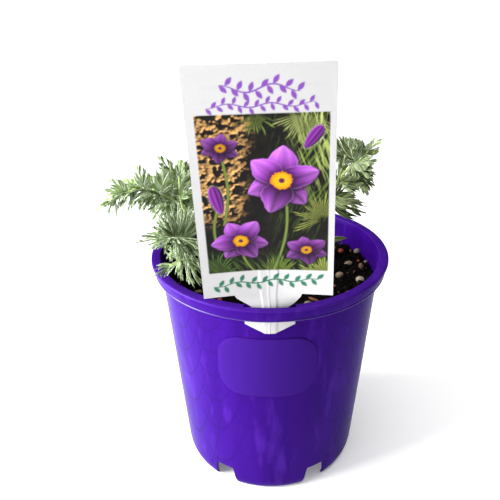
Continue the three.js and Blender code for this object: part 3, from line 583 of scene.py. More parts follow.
def violet_plastic(name, gloss_level, painted_light_share):
    """Glossy moulded violet plastic. A net of darker scallops lies over it: parabolas about upright
    lines, their rows closer together the higher they are. Pale smears run down the wall, and fine
    scuffs break its gloss. A painted light share mixes the colour further towards pale violet."""
    material, tree, shader = new_finish(name, Roughness=0.3, Specular_IOR_Level=gloss_level)
    inputs = {"Vector": object_place(tree), "Location": (-POT_X * MM, -POT_Y * MM, 0)}
    axis = add_node(tree, "ShaderNodeMapping", inputs).outputs[0]
    parts = add_node(tree, "ShaderNodeSeparateXYZ", {"Vector": axis}).outputs
    turn = math_node(tree, "ARCTAN2", parts["X"], times(tree, parts["Y"], -1.0))
    folded = math_node(tree, "PINGPONG", minus(tree, turn, NET_MIDDLE), math.pi / 2)
    net = None
    for feed, phase, reach, strength in NET_FEEDS:
        aside = minus(tree, folded, math.radians(feed))
        squared = times(tree, aside, aside)
        level = minus(tree, parts["Z"], times(tree, squared, NET_BEND))
        slope = math_node(tree, "ADD", times(tree, level, NET_ROWS[2]), NET_ROWS[1])
        row = math_node(tree, "ADD", times(tree, level, slope), NET_ROWS[0] + phase)
        off = math_node(tree, "ABSOLUTE", minus(tree, math_node(tree, "FRACT", row), 0.5))
        line = minus(tree, 1.0, times(tree, off, NET_SHARPNESS), clamp=True)
        fall = times(tree, squared, strength / math.radians(reach) ** 2)
        line = times(tree, line, minus(tree, strength, fall, clamp=True))
        net = line if net is None else math_node(tree, "MAXIMUM", net, line)
    on_wall = math_node(tree, "LESS_THAN", parts["Z"], (SKIRT_BOTTOM_Z - NET_DROP) * MM)
    net = times(tree, net, on_wall)
    streaks = drawn_out_noise(tree, 70.0, 2.0, 0.5, 0.12)
    body = ramp(tree, streaks, [(0.3, VIOLET_DEEP), (0.7, VIOLET_BRIGHT)])
    smear = map_range(tree, drawn_out_noise(tree, 95.0, 3.0, 0.6, 0.2), 0.56, 0.74, 0.0, 0.35)
    # Smears and, by its share, painted light on the flange's top mix the body towards pale violet
    body = mix_colours(tree, math_node(tree, "ADD", smear, painted_light_share, clamp=True), body, VIOLET_SMEAR_AND_RIM_LIGHT)
    tree.links.new(mix_colours(tree, net, body, VIOLET_NET), shader.inputs["Base Color"])
    scuffs = map_range(tree, noise(tree, 420.0, 4.0, 0.6), 0.0, 1.0, 0.24, 0.36)
    tree.links.new(scuffs, shader.inputs["Roughness"])
    add_bump(tree, shader, minus(tree, streaks, net), 0.12, 0.0006)
    return material


def build_panel():
    """A rounded rectangle wrapped on the wall's cone: across is arc length, up is height. Its face
    sinks at the rim, so the edge is soft. It is even matte violet film with a very fine grain."""
    flat_x, flat_y = PANEL_WIDTH / 2 - PANEL_CORNER, PANEL_HEIGHT / 2 - PANEL_CORNER
    turn = np.linspace(0, math.pi / 2, 20)
    quarter = PANEL_CORNER * np.stack([np.cos(turn), np.sin(turn)], axis=-1) + (flat_x, flat_y)
    top = np.stack([np.linspace(flat_x, -flat_x, 26)[1:-1], np.full(24, flat_y + PANEL_CORNER)], axis=-1)
    side = np.stack([np.full(10, -flat_x - PANEL_CORNER), np.linspace(flat_y, -flat_y, 12)[1:-1]], axis=-1)
    half = np.concatenate([quarter, top, quarter[::-1] * (-1, 1), side])
    outline = np.concatenate([half, -half])
    inner = len(PANEL_INNER_RINGS)
    sizes = np.array([*PANEL_INNER_RINGS, *PANEL_RIM_RINGS, *PANEL_INNER_RINGS[::-1]])
    lifts = np.array([PANEL_BACK] * inner + [*PANEL_RIM_LIFTS] + [PANEL_FACE] * inner)
    flat = sizes[:, None, None] * outline
    z = PANEL_CENTRE_Z + flat[..., 1]
    angle = (flat[..., 0] + PANEL_OFFSET) / wall_radius(z)
    reach = wall_radius(z) + PANEL_GAP + lifts[:, None]
    film = grained_finish("violet_film", (1400.0, 2.0),
                          [(0.3, (0.030, 0.0055, 0.150)), (0.7, (0.034, 0.0066, 0.166))], 0.15, 0.0001,
                          Roughness=0.8, Specular_IOR_Level=0.03)
    make_piece("wall_panel", around(reach, angle, z), closed_tube(len(lifts), len(outline)), film,
               "wall_sticker")


# Label


def tag_point(s, t):
    """A point on the label's near face: s across, t up from the lower edge of its face. The face is a
    leaning plane hollowed down its middle towards the foot; the part below follows the rim's curve."""
    up, back = unit(TAG_UP), unit(TAG_BACK)
    right = unit(np.cross(back, up))
    bow = np.clip(np.abs(s) / TAG_HALF_WIDTH, 0, 1) ** 1.35
    sag = TAG_SAG * (1 - np.clip(t, 0, None) / TAG_HEIGHT).clip(0) ** 1.5 * (1 - bow)
    face = TAG_FOOT + s[..., None] * right + t[..., None] * up + sag[..., None] * back
    drop = -t
    z = TAG_FOOT[2] + 0.26 - drop
    ease = smoothstep(drop, 0, TAG_SLOT_DROP)
    tuck = TAG_TUCK * smoothstep(drop - TAG_SLOT_DROP, 0, 4)
    slot_y = -(SLOT_INNER_RADIUS + SLOT_OUTER_RADIUS) / 2 - TAG_THICKNESS / 2
    clear_of_wall = -(wall_radius(z) + TAG_WALL_GAP + TAG_THICKNESS)
    y = np.where(drop < TAG_SLOT_DROP, slot_y, np.maximum(slot_y + tuck, clear_of_wall))
    arc = s * s / (2 * SLOT_OUTER_RADIUS)
    start = TAG_FOOT[1] + TAG_SAG * (1 - bow)
    neck = np.stack([
        s + TAG_FOOT[0] * (1 - ease),
        start + ease * (y + arc - start),
        z + 0.037 * s * (1 - ease),
    ], axis=-1)
    return np.where((t >= 0)[..., None], face, neck)


def tag_relief(s, t):
    """How far the near face stands out: a shallow flat-topped rib between two creases, a third crease
    along its middle, all drawing together towards the foot, and a half-round pressed step."""
    run = np.clip((t + TAG_SLOT_DROP) / 44, 0, 1)
    left, middle, right = -3.7 - 1.1 * run, -0.2 + 1.5 * run, 3.6 + 3.6 * run
    fade = 1 - smoothstep(t, 14, 40)
    rib = smoothstep(s, left - 0.5, left + 0.3) - smoothstep(s, right - 0.3, right + 0.5)
    line = np.exp(-(((s - middle) / 0.35) ** 2))
    step = 1 - smoothstep(np.hypot((s - 23.5) / 6.0, (t + 0.4) / 5.0), 0.93, 1.0)
    return fade * (0.3 * rib + 0.18 * line) + 0.1 * step * (t > -0.5)


def grain(x, y, seed):
    """Smooth noise from -1 to 1: random numbers on a square lattice with cubic blending between."""
    i, j = np.floor(x), np.floor(y)
    u, v = smoothstep(x - i, 0, 1), smoothstep(y - j, 0, 1)
    near_low, far_low, near_high, far_high = (
        jitter((i + a) * 12.71 + (j + b) * 31.17 + seed) for a, b in ((0, 0), (1, 0), (0, 1), (1, 1)))
    return (near_low * (1 - u) + far_low * u) * (1 - v) + (near_high * (1 - u) + far_high * u) * v


def strokes(s, t, lean, long, fine, seed):
    """Noise drawn out along a leaning direction, as grass blades are."""
    along, aside = turned(s, t, lean, 1)
    coarse = grain(along / long, aside / fine, seed)
    return coarse * 0.65 + grain(along / long * 2.1, aside / fine * 2.3, seed + 5) * 0.35


def lay(colour, over, cover):
    """One colour painted over another where cover is 1."""
    return colour + (np.asarray(over, float) - colour) * cover[..., None]


def paint_flower(colour, s, t, centre, radius, turn, squash, light):
    """Six pointed petals, three behind and three in front. Each is a lens about its own midline with a
    waved edge, throws a soft shadow, and is folded there, so that its half towards the light is paler;
    it runs from a deep foot to a glowing tip, with fine veins. In the middle, stamens round a style."""
    x, y = s - centre[0], (t - centre[1]) / squash
    soft = 0.3 / radius
    for k in (1, 3, 5, 0, 2, 4):
        angle = turn + k * math.pi / 3 + 0.16 * jitter(k + radius)
        reach = radius * (1 + 0.12 * jitter(3 * k + radius))
        along, aside = turned(x, y, angle, reach)
        aside = aside + 0.1 * jitter(5 * k + radius) * along**2
        share = np.clip(along, 0, 1)
        waved = 1 + 0.07 * np.sin(9 * share + k) + 0.05 * grain(s * 0.8, t * 0.8, k)
        edge = 0.37 * np.sin(math.pi * share**0.8) ** 0.7 * waved
        inside = (along > 0) * (along < 1)
        shadow = smoothstep(edge + 0.09 - np.abs(aside + 0.05 * math.cos(angle)), 0, 0.12) * inside
        colour = lay(colour, (0.01, 0.004, 0.012), 0.75 * shadow)
        cover = smoothstep(edge - np.abs(aside), -soft, soft) * inside
        fold = np.clip(aside / (edge + 0.03), -1, 1)
        facing = math.cos(angle + math.pi / 2 - 2.2)
        crease = np.exp(-((fold / 0.16) ** 2))
        lit = 0.62 + 0.3 * fold * facing + 0.22 * math.cos(angle - 2.0) - 0.25 * crease
        veins = 1 + 0.1 * np.sin(fold * 13 + 2 * share) + 0.14 * grain(aside * 70, along * 6, k)
        tone = np.clip(light * lit * veins, 0.02, 2) * (0.3 + 0.7 * smoothstep(share, 0.12, 0.75))
        hue = PETAL_DEEP + (PETAL_PALE - PETAL_DEEP) * (share**1.6)[..., None]
        glow = smoothstep(np.abs(fold), 0.8, 1.0) * 0.4 * light
        colour = lay(colour, lay(tone[..., None] * hue * 1.5, PETAL_GLOW, glow), cover)
    distance, round_it = np.hypot(x, y) / radius, np.arctan2(y, x)
    ragged = distance + 0.035 * grain(round_it * 6, distance * 3, radius)
    rings = np.sin(distance * 88 + 2 * grain(round_it * 5, distance, 2.0))
    dots = 0.5 + 0.5 * np.sin(round_it * 21 + 9 * distance) * rings
    colour = lay(colour, (0.05, 0.008, 0.05), 0.7 * (1 - smoothstep(distance, 0.22, 0.42)))
    outer = smoothstep(distance, 0.16, 0.3)[..., None]
    ripe = np.array([0.95, 0.55, 0.01]) - np.array([0.15, 0.30, 0.0]) * outer
    heart = ripe * (0.25 + 0.95 * dots[..., None]) * (0.35 + 0.65 * light)
    colour = lay(colour, heart, 1 - smoothstep(ragged, 0.27 - soft, 0.27 + soft))
    return lay(colour, (0.13, 0.02, 0.08), 1 - smoothstep(distance, 0.06, 0.06 + 2 * soft))


def paint_bud(colour, s, t, centre, size, lean):
    """A nodding closed flower: an egg shape with folded stripes, lit along one side, in pale down."""
    along, aside = turned(s - centre[0], t - centre[1], lean, size)
    width = 0.42 * np.sqrt(np.clip(1 - along**2, 0, 1)) * (1 + 0.25 * along)
    cover = smoothstep(width - np.abs(aside), -0.04, 0.04) * (np.abs(along) < 1)
    fold = aside / (width + 0.02)
    stripe = 0.55 + 0.25 * np.sin(fold * 9) + 0.3 * fold
    body = np.array([0.34, 0.06, 0.46]) * np.clip(stripe, 0.08, 2)[..., None]
    fluff = 0.35 + 0.65 * np.abs(grain(s * 2.4, t * 2.4, size))
    down = smoothstep(width + 0.2 - np.abs(aside), 0, 0.2) * fluff
    colour = lay(colour, (0.44, 0.47, 0.34), down * 0.7 * (np.abs(along) < 1.1))
    return lay(colour, body, cover)


def paint_tuft(colour, s, t, centre, spread, count, reach, tint, seed):
    """A feathery tuft: hair-thin blades that fan out from a centre, each brightest in its middle."""
    x, y = s - centre[0], t - centre[1]
    distance, heading = np.hypot(x, y) / reach, np.arctan2(y, x)
    wave = heading * count / (2 * math.pi) + 0.5 * grain(heading * 3, distance * 3, seed)
    blade = 1 - np.abs(wave - np.round(wave)) * 2
    tip = 0.75 + 0.25 * jitter(np.round(wave) + seed)
    cover = smoothstep(blade, 0.35, 0.8) * (1 - smoothstep(distance / tip, 0.75, 1.0))
    cover = cover * smoothstep(distance, 0.02, 0.2)
    off = np.abs((heading - spread[0] + math.pi) % (2 * math.pi) - math.pi)
    cover = cover * (1 - smoothstep(off, spread[1] * 0.8, spread[1]))
    bright = 0.5 + 0.7 * distance[..., None] * (0.6 + 0.4 * grain(s * 1.5, t * 1.5, seed)[..., None])
    return lay(colour, np.array(tint) * bright, cover)


def paint_stem(colour, s, t, foot, top, bend):
    """A round stem from foot to top, bowed sideways by half a sine wave."""
    share = np.clip((t - foot[1]) / (top[1] - foot[1]), 0, 1)
    line = foot[0] + (top[0] - foot[0]) * share + bend * np.sin(math.pi * share)
    round_stem = np.clip(1 - ((s - line) / 0.85) ** 2, 0, 1)
    cover = smoothstep(round_stem, 0.0, 0.5) * (t > foot[1]) * (t < top[1])
    return lay(colour, np.array([0.17, 0.22, 0.06]) * (0.25 + 0.9 * round_stem[..., None]), cover)


# Places on the label in millimetres. Tufts: centre, heading and spread, blades, reach, tint and seed
TUFTS = (
    ((28, 44), (2.2, 1.6), 64, 17.0, (0.40, 0.44, 0.12), 1.0),
    ((20, 97), (-1.7, 1.4), 58, 19.0, (0.46, 0.50, 0.20), 2.0),
    ((-26, 13), (1.1, 1.2), 50, 16.0, (0.13, 0.22, 0.05), 3.0),
    ((4, 11), (1.7, 1.3), 60, 15.0, (0.26, 0.34, 0.07), 4.0),
    ((29, 11), (2.3, 1.3), 60, 16.0, (0.50, 0.54, 0.14), 5.0),
    ((-3, 98), (-1.5, 1.2), 44, 13.0, (0.24, 0.32, 0.08), 6.0),
)
# Stems: foot, top and bend
STEMS = (((3, 14), (10, 60), 3.5), ((-6, 14), (-12, 30), -2.0), ((22, 14), (19, 26), 1.0),
         ((-20, 42), (-19, 78), 2.5), ((-24, 30), (-23, 50), -1.5))
# Flowers and buds from the back to the front: centre, then radius, turn, squash and light, or size and lean
BLOOMS = (
    (paint_flower, (-19, 82), 9.5, 0.4, 0.8, 0.5),
    (paint_bud, (-22.5, 56), 7.5, 1.8),
    (paint_bud, (23.5, 86), 6.5, 0.9),
    (paint_flower, (20, 27), 10.5, 0.6, 0.8, 0.5),
    (paint_flower, (8.5, 65), 19.0, 0.3, 0.88, 1.0),
    (paint_flower, (-12.5, 33), 14.0, 0.95, 0.84, 0.85),
)


def paint_picture(s, t):
    """A garden picture of the maker's own: near-black ground, lit clods of straw at the left, feathery
    green tufts at the right and below, then stems, buds and open flowers from the back to the front."""
    soil = 0.5 + 0.5 * strokes(s, t, 0.3, 4.0, 2.0, 1.0)
    colour = np.array([0.011, 0.009, 0.008]) * (0.3 + 1.3 * soil[..., None])
    coarse, middle = grain(s / 3.1, t / 2.3, 3.0), grain(s / 1.4, t / 1.1, 8.0)
    clods = coarse + 0.7 * middle + 0.35 * grain(s / 0.7, t / 0.6, 5.0)
    zone = smoothstep(-6 - s + 0.12 * (t - 50), 0, 10) * smoothstep(t, 38, 52)
    # Clods are lit where they fall away towards the lower right
    beside_s, beside_t = s + 0.5, t - 0.5
    beside = grain(beside_s / 3.1, beside_t / 2.3, 3.0) + 0.7 * grain(beside_s / 1.4, beside_t / 1.1, 8.0)
    straw = np.array([0.62, 0.38, 0.16]) * np.clip(0.55 + 0.9 * (clods - beside), 0.06, 1.25)[..., None]
    colour = lay(colour, straw, smoothstep(clods, -0.25, 0.1) * zone)
    for lean, seed, tint, area in (
        (1.25, 21.0, (0.035, 0.06, 0.015), smoothstep(s, -2, 10)),
        (0.95, 33.0, (0.10, 0.15, 0.03), smoothstep(s - 0.2 * (t - 60), 4, 16) * smoothstep(t, 45, 60)),
        (1.9, 47.0, (0.36, 0.42, 0.14), smoothstep(s, 8, 24) * smoothstep(t, 46, 80)),
        (1.4, 71.0, (0.52, 0.56, 0.24), smoothstep(s, 12, 26) * smoothstep(t, 70, 92)),
        (2.2, 55.0, (0.06, 0.11, 0.02), smoothstep(30 - t, 0, 12)),
    ):
        blades = strokes(s, t, lean, 7.5, 0.7, seed)
        colour = lay(colour, tint, smoothstep(blades, 0.12, 0.4) * area)
    for tuft in TUFTS:
        colour = paint_tuft(colour, s, t, *tuft)
    for stem in STEMS:
        colour = paint_stem(colour, s, t, *stem)
    for paint, *bloom in BLOOMS:
        colour = paint(colour, s, t, *bloom)
    return colour


def paint_vine(colour, s, t, level, swing, wave, reach, thick, leaf_step, leaf_size, tint):
    """A scrolling vine: a sine line that thins towards its ends, with pointed leaves set on its crests."""
    line = level + swing * np.sin(2 * math.pi * s / wave)
    slope = 2 * math.pi * swing / wave * np.cos(2 * math.pi * s / wave)
    width = thick * (1 - 0.55 * (np.abs(s) / reach) ** 2)
    far = np.abs(t - line) / np.sqrt(1 + slope**2)
    cover = (1 - smoothstep(far, width * 0.55, width)) * (np.abs(s) < reach)
    for k, place in enumerate(np.arange(-reach, reach + 0.1, leaf_step)):
        side = 1 if k % 2 else -1
        lean = side * (0.95 + 0.25 * jitter(k + level))
        root = level + swing * math.sin(2 * math.pi * place / wave)
        along, aside = turned(s - place, t - root, lean, leaf_size)
        lens = 0.24 * np.sin(math.pi * np.clip(along, 0, 1)) - np.abs(aside)
        cover = np.maximum(cover, smoothstep(lens, -0.04, 0.06) * (along > 0) * (along < 1))
    return lay(colour, tint, cover)


def paint_label(s, t):
    """The label's print by place: white card, the picture, violet vines above it, a green one below,
    and the faint grey show-through of the print on the back."""
    colour = np.broadcast_to(PAPER, (*s.shape, 3)).copy()
    for level, low, high in ((109.5, -27, -17), (103.2, -27, -15), (109.5, 17, 29), (103.2, 14, 30)):
        smudge = smoothstep(s, low, low + 1.5) * (1 - smoothstep(s, high - 1.5, high))
        smudge = smudge * np.exp(-((t - level) ** 2)) * (0.5 + 0.5 * grain(s * 1.3, t * 0.9, level))
        colour = colour * (1 - 0.07 * smudge[..., None])
    violet, green = (0.17, 0.055, 0.32), (0.02, 0.13, 0.075)
    colour = paint_vine(colour, s, t, 108.6, 1.7, 23.0, 17.5, 0.5, 2.6, 5.0, violet)
    colour = paint_vine(colour, s, t, 101.2, 0.9, 19.0, 24.0, 0.42, 2.4, 3.9, violet)
    colour = paint_vine(colour, s + 1, t - 0.035 * s, 8.0, 0.9, 19.0, 27.0, 0.55, 2.8, 5.0, green)
    inside = 1
    for margin in (s - PICTURE_LEFT, PICTURE_RIGHT - s, t - PICTURE_LOW, PICTURE_TOP - t):
        inside = inside * smoothstep(margin, -0.15, 0.15)
    return lay(colour, INK_DEPTH * paint_picture(s, t) ** INK_CONTRAST, inside)


def card_shell(s, t, start):
    """A closed sheet over a grid of label places: a fine near face, a far face on its coarse lines
    only, and rim faces that each join one coarse edge to the fine edges beside it."""
    rows, columns = s.shape
    back = unit(TAG_BACK)
    near = tag_point(s, t) - tag_relief(s, t)[..., None] * back
    coarse_s, coarse_t = s[::CARD_COARSE, ::CARD_COARSE], t[::CARD_COARSE, ::CARD_COARSE]
    far = tag_point(coarse_s, coarse_t) + TAG_THICKNESS * back
    coarse_rows, coarse_columns = coarse_s.shape
    far_start = start + rows * columns
    near_quads = grid_quads(rows, columns, start=start)
    far_quads = grid_quads(coarse_rows, coarse_columns, start=far_start)[:, ::-1]
    ids = np.arange(rows * columns).reshape(rows, columns)
    far_ids = np.arange(coarse_rows * coarse_columns).reshape(coarse_rows, coarse_columns)
    rims = []
    for fine, coarse in ((ids[0], far_ids[0]), (ids[:, -1], far_ids[:, -1]),
                         (ids[-1, ::-1], far_ids[-1, ::-1]), (ids[::-1, 0], far_ids[::-1, 0])):
        k = np.arange(len(coarse) - 1)
        edge = start + fine[CARD_COARSE * k[:, None] + np.arange(CARD_COARSE, -1, -1)]
        rims.append(np.hstack([edge, far_start + coarse[k][:, None], far_start + coarse[k + 1][:, None]]))
    points = np.vstack([near.reshape(-1, 3), far.reshape(-1, 3)])
    colours = np.ones((len(points), 4))
    # The far face gets a paler white than the near face: painted light that lifts its shade
    colours[:, :3] = PAPER_BACK_PAINTED_LIGHT
    print_dots = [(x, y) for x in (-0.1, 0.1) for y in (-0.1, 0.1)]
    print_mean = sum(paint_label(s + x, t + y) for x, y in print_dots) / len(print_dots)
    colours[: rows * columns, :3] = print_mean.reshape(-1, 3)
    return points, [near_quads, far_quads, *rims], colours


def build_label():
    """The label's face and, below it, the neck, the slot part and the barbed point, each row of the
    lower part as wide as its outline is at that drop. Satin plastic, printed by its own colours."""
    face_t = np.linspace(0, TAG_HEIGHT, CARD_COARSE * CARD_ROWS + 1)
    corner = np.clip(face_t - (TAG_HEIGHT - CARD_CORNER), 0, CARD_CORNER)
    face_half = TAG_HALF_WIDTH - (CARD_CORNER - np.sqrt(CARD_CORNER**2 - corner**2))
    face_s = np.linspace(-1, 1, CARD_COARSE * CARD_COLUMNS + 1) * face_half[:, None]
    slot = np.linspace(0, TAG_SLOT_DROP, 17)
    bowl = TAG_NECK_HALF_WIDTH - (TAG_NECK_HALF_WIDTH - TAG_SLOT_HALF_WIDTH) * (slot / TAG_SLOT_DROP) ** 1.7
    barb_start = TAG_BARB_TOP_DROP - 0.3
    drops = np.concatenate([slot, np.linspace(TAG_SLOT_DROP, barb_start, 5)[1:],
                            np.linspace(TAG_BARB_TOP_DROP, TAG_BARB_SIDE_DROP, 12),
                            np.linspace(TAG_BARB_SIDE_DROP, TAG_POINT_DROP, 9)[1:]])
    outline = np.interp(
        drops,
        [TAG_SLOT_DROP, barb_start, TAG_BARB_TOP_DROP, TAG_BARB_SIDE_DROP, TAG_POINT_DROP],
        [TAG_SLOT_HALF_WIDTH, TAG_SLOT_HALF_WIDTH, TAG_BARB_HALF_WIDTH, TAG_BARB_HALF_WIDTH,
         TAG_POINT_HALF_WIDTH])
    half = np.concatenate([bowl, outline[len(slot):]])[::-1]
    neck_s = np.linspace(-1, 1, 65) * half[:, None]
    neck_t = np.broadcast_to(-drops[::-1, None], neck_s.shape)
    points, faces, colours = card_shell(face_s, np.broadcast_to(face_t[:, None], face_s.shape), 0)
    low_points, low_faces, low_colours = card_shell(neck_s, neck_t, len(points))
    card = grained_finish("printed_card", (900.0, 2.0), [(0.3, (0.97,) * 3), (0.7, (1.0,) * 3)],
                          0.08, 0.0002, attribute="print", Roughness=0.5, Specular_IOR_Level=0.12)
    make_piece("label_card", np.vstack([points, low_points]), faces + low_faces, card, "plant_tag",
               sharp=50, attributes={"print": np.vstack([colours, low_colours])})


# Soil


def soil_height(x, y):
    """A low mound with lumps from three crossing waves."""
    lumps = np.sin(0.19 * x + 1.3) * np.cos(0.23 * y + 0.4) + np.sin(0.37 * x - 0.31 * y)
    return SOIL_EDGE_Z - 1 + 0.04 * np.maximum(0, x - 30) + SOIL_BUMP * 0.5 * lumps


def soil_top(x, y):
    """The mound with three sizes of crumb on it."""
    crumbs = sum(height * grain(x / size, y / size, seed)
                 for height, size, seed in ((0.9, 3.4, 3.0), (0.55, 1.7, 7.0), (0.3, 0.9, 11.0)))
    return soil_height(x, y) + crumbs - 0.3


def build_soil():
    """A disc of rings with the crumbled top as its height, closed by the side wall and a flat bottom.
    Damp dark potting mix: near-black brown with paler flecks, rough and broken up."""
    turn = np.linspace(0, 2 * math.pi, SOIL_COLUMNS + 1)[:-1]
    radii = np.linspace(SOIL_CENTRE_RADIUS, inner_radius(SOIL_EDGE_Z) - SOIL_GAP, SOIL_RINGS)[:, None]
    top = around(radii, turn, 0.0)
    top[..., 2] = soil_top(top[..., 0], top[..., 1])
    top[-1] = around(inner_radius(top[-1, :, 2]) - SOIL_GAP, turn, top[-1, :, 2])
    foot, foot_z = inner_radius(BASE_TOP_Z), BASE_TOP_Z + SOIL_BASE_GAP
    sides = [around(radius, turn, z) for radius, z in (
        (inner_radius(SOIL_SIDE_Z) - SOIL_GAP, SOIL_SIDE_Z), (foot - SOIL_GAP, BASE_TOP_Z + SOIL_FOOT_CUT),
        (foot - SOIL_FOOT_CUT, foot_z), (BASE_CENTRE_RADIUS, foot_z))]
    points = np.concatenate([top, np.stack(sides)])
    mix = grained_finish("potting_mix", (600.0, 5.0, 0.7),
                         [(0.35, (0.0015, 0.0013, 0.0014)), (0.62, (0.005, 0.0036, 0.003)),
                          (0.78, (0.026, 0.017, 0.012))], 0.6, 0.0012,
                         Roughness=0.95, Specular_IOR_Level=0.02)
    make_piece("potting_soil", points, closed_tube(len(points), SOIL_COLUMNS), mix, "soil", sharp=180)


def tinted_finish(name, roughness, scale, low, high, relief):
    """A finish whose colour is the piece's own tint, blotched by noise between two shares of it."""
    return grained_finish(name, (scale, 4.0, 0.6), [(0.3, (low,) * 3), (0.7, (high,) * 3)], 0.4, relief,
                          attribute="tint", Roughness=roughness, Specular_IOR_Level=0.5 * (1 - roughness))


def ball(subdivisions):
    """The corners and triangles of a unit ball made from an icosahedron."""
    shape = bmesh.new()
    bmesh.ops.create_icosphere(shape, subdivisions=subdivisions, radius=1)
    points = np.array([v.co for v in shape.verts])
    faces = np.array([[v.index for v in f.verts] for f in shape.faces])
    shape.free()
    return points, faces


def spun(first, second, turn):
    """Two coordinates turned about the third."""
    return first * np.cos(turn) - second * np.sin(turn), first * np.sin(turn) + second * np.cos(turn)


def scatter(name, subdivisions, places, sizes, turns, tints, material, sharp, roughen, seed):
    """Lumps at places on the soil: each a ball stretched to its three sizes, dented by crossing waves
    of its own phase, rolled a little and turned about the upright axis."""
    points, faces = ball(subdivisions)
    rng = np.random.default_rng(seed)
    count = len(places)
    phase = rng.uniform(0, 2 * math.pi, (count, 1, 3))
    pace = rng.uniform(1.8, 3.4, (count, 1, 3))
    dents = np.sin(points[None] * pace + phase).sum(axis=-1, keepdims=True)
    crumple = 0.4 * roughen * rng.uniform(-1, 1, (count, len(points), 1))
    lumps = points[None] * (1 + roughen * dents / 3 + crumple) * sizes[:, None]
    y, z = spun(lumps[..., 1], lumps[..., 2], rng.uniform(-0.4, 0.4, (count, 1)))
    x, y = spun(lumps[..., 0], y, turns[:, None])
    lumps = np.stack([x, y, z], axis=-1) + places[:, None]
    all_faces = (np.arange(count)[:, None, None] * len(points) + faces).reshape(-1, 3)
    colours = np.ones((count, len(points), 4))
    colours[..., :3] = tints[:, None] * (1 + 0.15 * rng.uniform(-1, 1, (count, 1, 1)))
    make_piece(name, lumps, all_faces, material, sharp=sharp,
               attributes={"tint": colours.reshape(-1, 4)})


# Stones, prills and bark that show: x, y, half length, half width, half height and turn in degrees
STONES = [
    (60.6, 26.8, 2.4, 1.9, 1.9, 20), (52.5, 10.3, 2.9, 1.6, 1.5, 15), (60.0, 4.5, 2.2, 1.8, 2.0, 80),
    (44.8, -5.5, 2.7, 2.1, 1.8, 30), (57.7, -10.0, 3.0, 2.5, 2.2, 150), (64.2, 12.2, 1.2, 1.0, 1.0, 0),
    (22.4, -40.4, 2.2, 1.6, 1.4, 10), (55.2, -1.4, 1.1, 0.9, 0.9, 40), (-44.3, -24.4, 2.3, 1.6, 1.3, 10),
    (-20.0, 38.0, 2.4, 1.9, 1.7, 60), (12.0, 47.0, 2.0, 1.6, 1.4, 25), (-5.0, -30.0, 2.1, 1.7, 1.5, 70),
    (28.0, 6.0, 2.2, 1.8, 1.6, 110), (-34.0, 18.0, 1.9, 1.5, 1.3, 130), (38.0, 40.0, 2.0, 1.5, 1.4, 5),
]
PRILLS = [
    (49.4, 28.8, 2.2, 1.9, 1.9, 110), (59.7, 15.1, 1.0, 0.9, 0.9, 0), (40.6, -17.3, 1.0, 0.8, 0.8, 0),
    (-30.0, -36.0, 1.5, 1.4, 1.4, 0), (-12.0, 44.0, 1.7, 1.5, 1.5, 0), (8.0, 26.0, 1.5, 1.4, 1.4, 0),
]
BARK = [
    (26.2, -35.4, 3.4, 1.3, 0.8, -35), (33.5, -35.6, 5.6, 1.2, 0.7, 5), (49.0, -24.4, 2.6, 1.0, 0.7, 25),
    (56.6, 32.1, 1.9, 0.7, 1.1, 80), (-24.0, -44.0, 4.0, 1.4, 0.7, 30), (4.0, 52.0, 4.4, 1.6, 0.8, 15),
    (-42.0, 30.0, 3.6, 1.2, 0.7, 70), (30.0, 22.0, 3.8, 1.3, 0.7, 140), (-8.0, 20.0, 3.0, 1.1, 0.6, 50),
]
# Each kind's name, its finish (roughness, waves a metre, darkest and palest share, relief), its rows,
# the share of a half height that is sunk, its tints in turn, the ball's subdivisions, the angle that
# stays sharp, how rough it is, and its seed
LITTER = (
    ("grit_stone", (0.8, 700.0, 0.55, 1.25, 0.0003), STONES, 0.55,
     [(0.20, 0.17, 0.14), (0.27, 0.20, 0.13), (0.16, 0.09, 0.06), (0.25, 0.19, 0.12), (0.30, 0.25, 0.20)],
     4, 60, 0.16, 6),
    ("feeding_prill", (0.45, 900.0, 0.7, 1.15, 0.0001), PRILLS, 0.4, [(0.26, 0.045, 0.02)], 4, 180, 0.06, 7),
    ("bark_chip", (0.85, 500.0, 0.5, 1.3, 0.0005), BARK, 0.3,
     [(0.20, 0.075, 0.035), (0.07, 0.03, 0.018), (0.10, 0.045, 0.03)], 3, 30, 0.3, 8),
)
CRUMBS = 2600
CRUMB_CIRCLE_RADIUS = 65.4
CRUMB_LIMIT_RADIUS = 66.2


def build_litter():
    """What lies on the soil: crumbs by a random rule over the whole top, then stones, feeding prills
    and bark at their places."""
    rng = np.random.default_rng(12)
    radius = CRUMB_CIRCLE_RADIUS * np.sqrt(rng.uniform(0, 1, CRUMBS))
    angle = rng.uniform(0, 2 * math.pi, CRUMBS)
    size = 0.35 + 1.15 * rng.uniform(0, 1, CRUMBS) ** 2.2
    radius = np.minimum(radius, CRUMB_LIMIT_RADIUS - size)
    x, y = radius * np.sin(angle), radius * np.cos(angle)
    places = np.column_stack([x, y, soil_top(x, y) + 0.25 * size])
    sizes = size[:, None] * rng.uniform(0.65, 1.25, (CRUMBS, 3))
    tints = np.array([0.0034, 0.0026, 0.0025]) * rng.uniform(0.3, 2.6, (CRUMBS, 1))
    tints[rng.uniform(0, 1, CRUMBS) < 0.03] = (0.085, 0.052, 0.032)
    crumb = tinted_finish("soil_crumb", 0.95, 900.0, 0.5, 1.3, 0.0004)
    scatter("soil_crumbs", 1, places, sizes, rng.uniform(0, 6.3, CRUMBS), tints, crumb, 20, 0.3, 5)
    for name, finish, rows, sink, tints, subdivisions, sharp, roughen, seed in LITTER:
        x, y, *sizes, turns = np.array(rows).T
        places = np.column_stack([x, y, soil_top(x, y) + sizes[2] * (1 - sink)])
        tints = np.array(tints)[np.arange(len(rows)) % len(tints)]
        scatter(name + "s", subdivisions, places, np.column_stack(sizes), np.radians(turns), tints,
                tinted_finish(name, *finish), sharp, roughen, seed)


